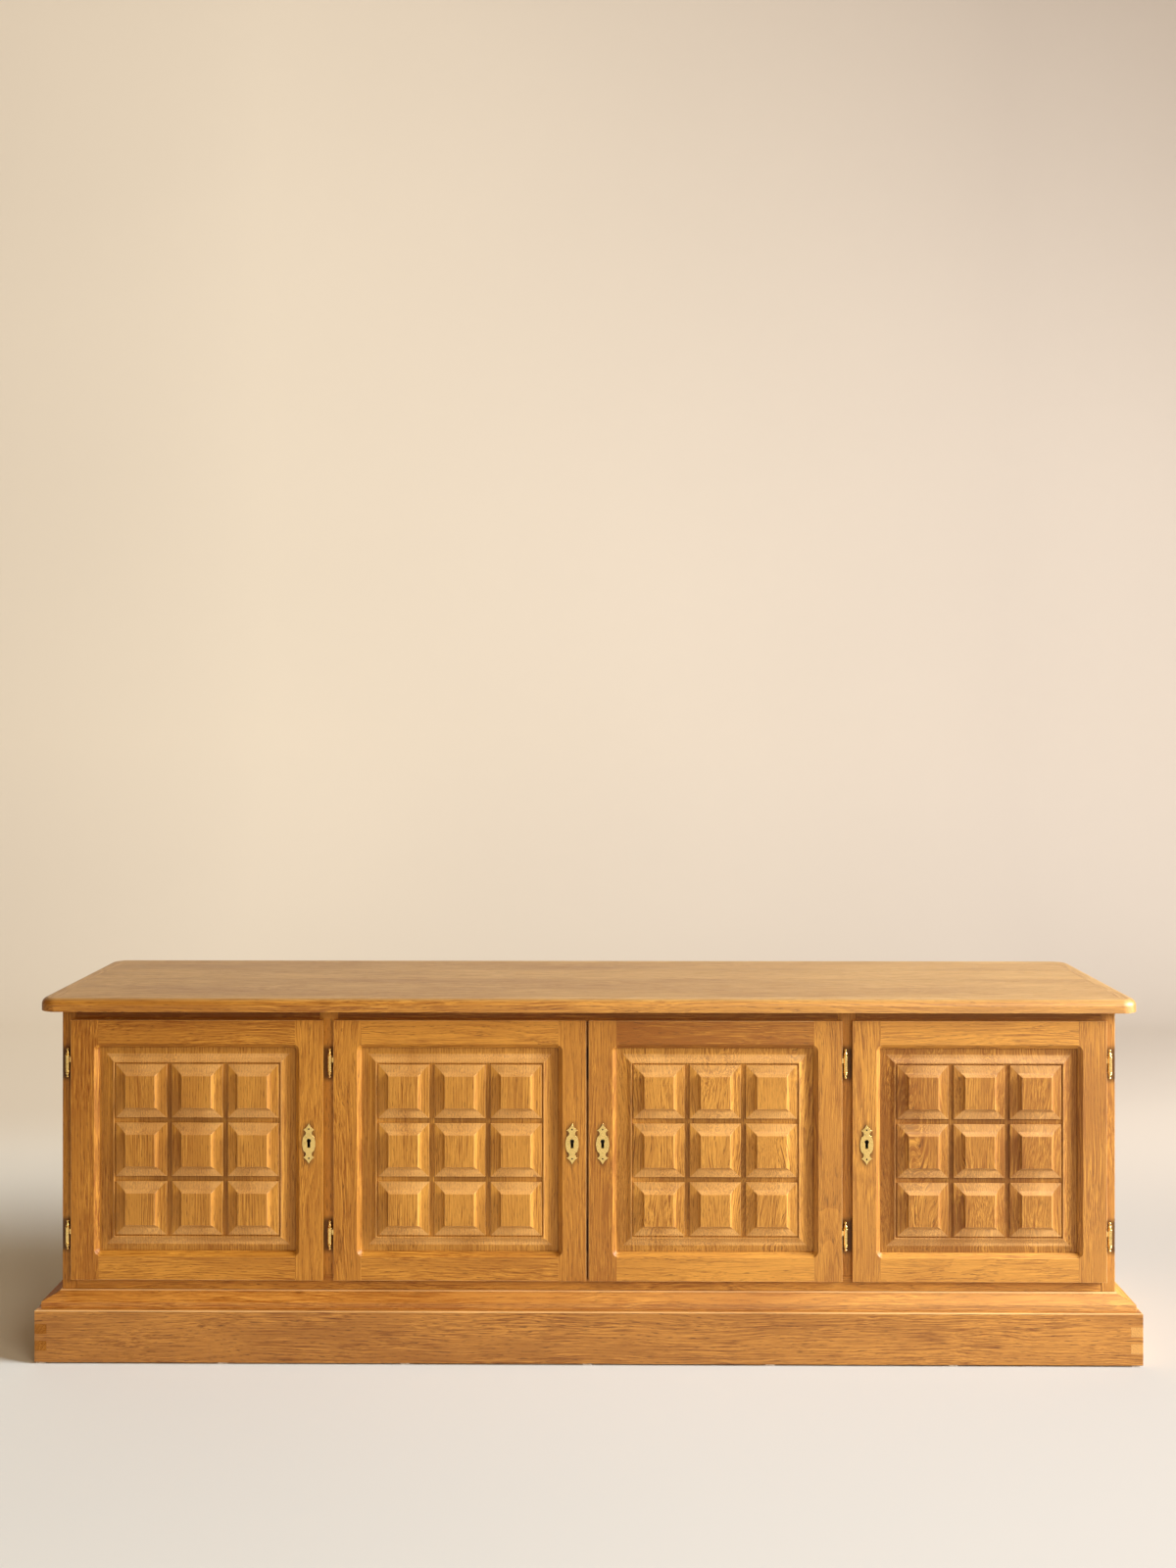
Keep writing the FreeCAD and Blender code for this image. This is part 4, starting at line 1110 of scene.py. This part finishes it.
class SIDEBOARD_OT_stage(bpy.types.Operator):
    """Set up the seamless paper, the lamps and the camera"""

    bl_idname = "sideboard.stage"
    bl_label = "Stage"

    def execute(self, context):
        scene = context.scene
        settings = scene.sideboard_stage
        bpy.ops.object.select_all(action="DESELECT")
        bpy.ops.mesh.primitive_plane_add(size=1)
        paper = context.object
        paper.name = "seamless_paper"
        paper.scale = PAPER_SIZE
        paper.location = PAPER_MIDDLE
        bpy.ops.object.transform_apply(location=True, rotation=False, scale=True)
        bpy.ops.object.mode_set(mode="EDIT")
        pick(paper, "edges", lambda edge: all(vert.co.y > REAR_EDGE for vert in edge.verts))
        bpy.ops.mesh.extrude_region_move(TRANSFORM_OT_translate={"value": (0, 0, PAPER_RISE)})
        pick(
            paper, "edges",
            lambda edge: all(vert.co.y > REAR_EDGE and vert.co.z < FLOOR_EDGE for vert in edge.verts),
        )
        bpy.ops.mesh.bevel(offset=PAPER_BEND, segments=PAPER_BEND_STEPS, affect="EDGES", profile=0.5)
        bpy.ops.object.mode_set(mode="OBJECT")
        bpy.ops.object.shade_smooth()
        paper.data.materials.append(studio_paper("Seamless paper", scene))
        for name, power, place, target, tint in LAMPS:
            bpy.ops.object.light_add(type="AREA", location=place)
            lamp = context.object
            lamp.name = name
            lamp.data.energy = getattr(settings, power)
            lamp.data.size = settings.lamp_size
            lamp.data.color = linear(tint)[:3]
            lamp.visible_camera = False
            lamp.rotation_euler = (Vector(target) - Vector(place)).to_track_quat("-Z", "Y").to_euler()
        scene.world = scene.world or bpy.data.worlds.new("studio")
        scene.world.use_nodes = True
        room = scene.world.node_tree.nodes["Background"].inputs
        room["Color"].default_value = opaque(settings.room_colour)
        room["Strength"].default_value = settings.room_strength
        bpy.ops.object.camera_add(
            location=settings.camera_place, rotation=(math.pi / 2, 0, settings.camera_turn)
        )
        camera = context.object
        camera.data.lens = settings.lens
        camera.data.sensor_width = SENSOR_WIDTH
        camera.data.shift_y = settings.camera_shift
        scene.camera = camera
        scene.view_settings.view_transform = "Standard"
        return {"FINISHED"}


class SIDEBOARD_PT_panel(bpy.types.Panel):
    """The settings, and the sideboard's pieces in the order in which they are made"""

    bl_label = "Sideboard"
    bl_idname = "SIDEBOARD_PT_panel"
    bl_space_type = "VIEW_3D"
    bl_region_type = "UI"
    bl_category = "Sideboard"

    def draw(self, context):
        for name, cls in SETTINGS.items():
            for setting in cls.__annotations__:
                self.layout.prop(getattr(context.scene, name), setting)
        for operator in OPERATORS:
            self.layout.operator(operator.bl_idname)


SETTINGS = {
    "sideboard_oak": OakSettings,
    "sideboard_colours": OakColours,
    "sideboard_brass": BrassSettings,
    "sideboard_stage": StageSettings,
}
OPERATORS = (
    SIDEBOARD_OT_top,
    SIDEBOARD_OT_carcass,
    SIDEBOARD_OT_inside,
    SIDEBOARD_OT_base,
    SIDEBOARD_OT_glides,
    SIDEBOARD_OT_doors,
    SIDEBOARD_OT_hinges,
    SIDEBOARD_OT_key_plates,
    SIDEBOARD_OT_locks,
    SIDEBOARD_OT_stage,
)


def register():
    """Register the classes, and hang the settings on the scene."""
    for cls in (*SETTINGS.values(), *OPERATORS, SIDEBOARD_PT_panel):
        bpy.utils.register_class(cls)
    for name, cls in SETTINGS.items():
        setattr(bpy.types.Scene, name, bpy.props.PointerProperty(type=cls))


def unregister():
    """Undo what register does."""
    for name in SETTINGS:
        delattr(bpy.types.Scene, name)
    for cls in reversed((*SETTINGS.values(), *OPERATORS, SIDEBOARD_PT_panel)):
        bpy.utils.unregister_class(cls)


def main():
    """Make the pieces in order."""
    register()
    for operator in OPERATORS:
        group, name = operator.bl_idname.split(".")
        getattr(getattr(bpy.ops, group), name)()


if __name__ == "__main__":
    main()
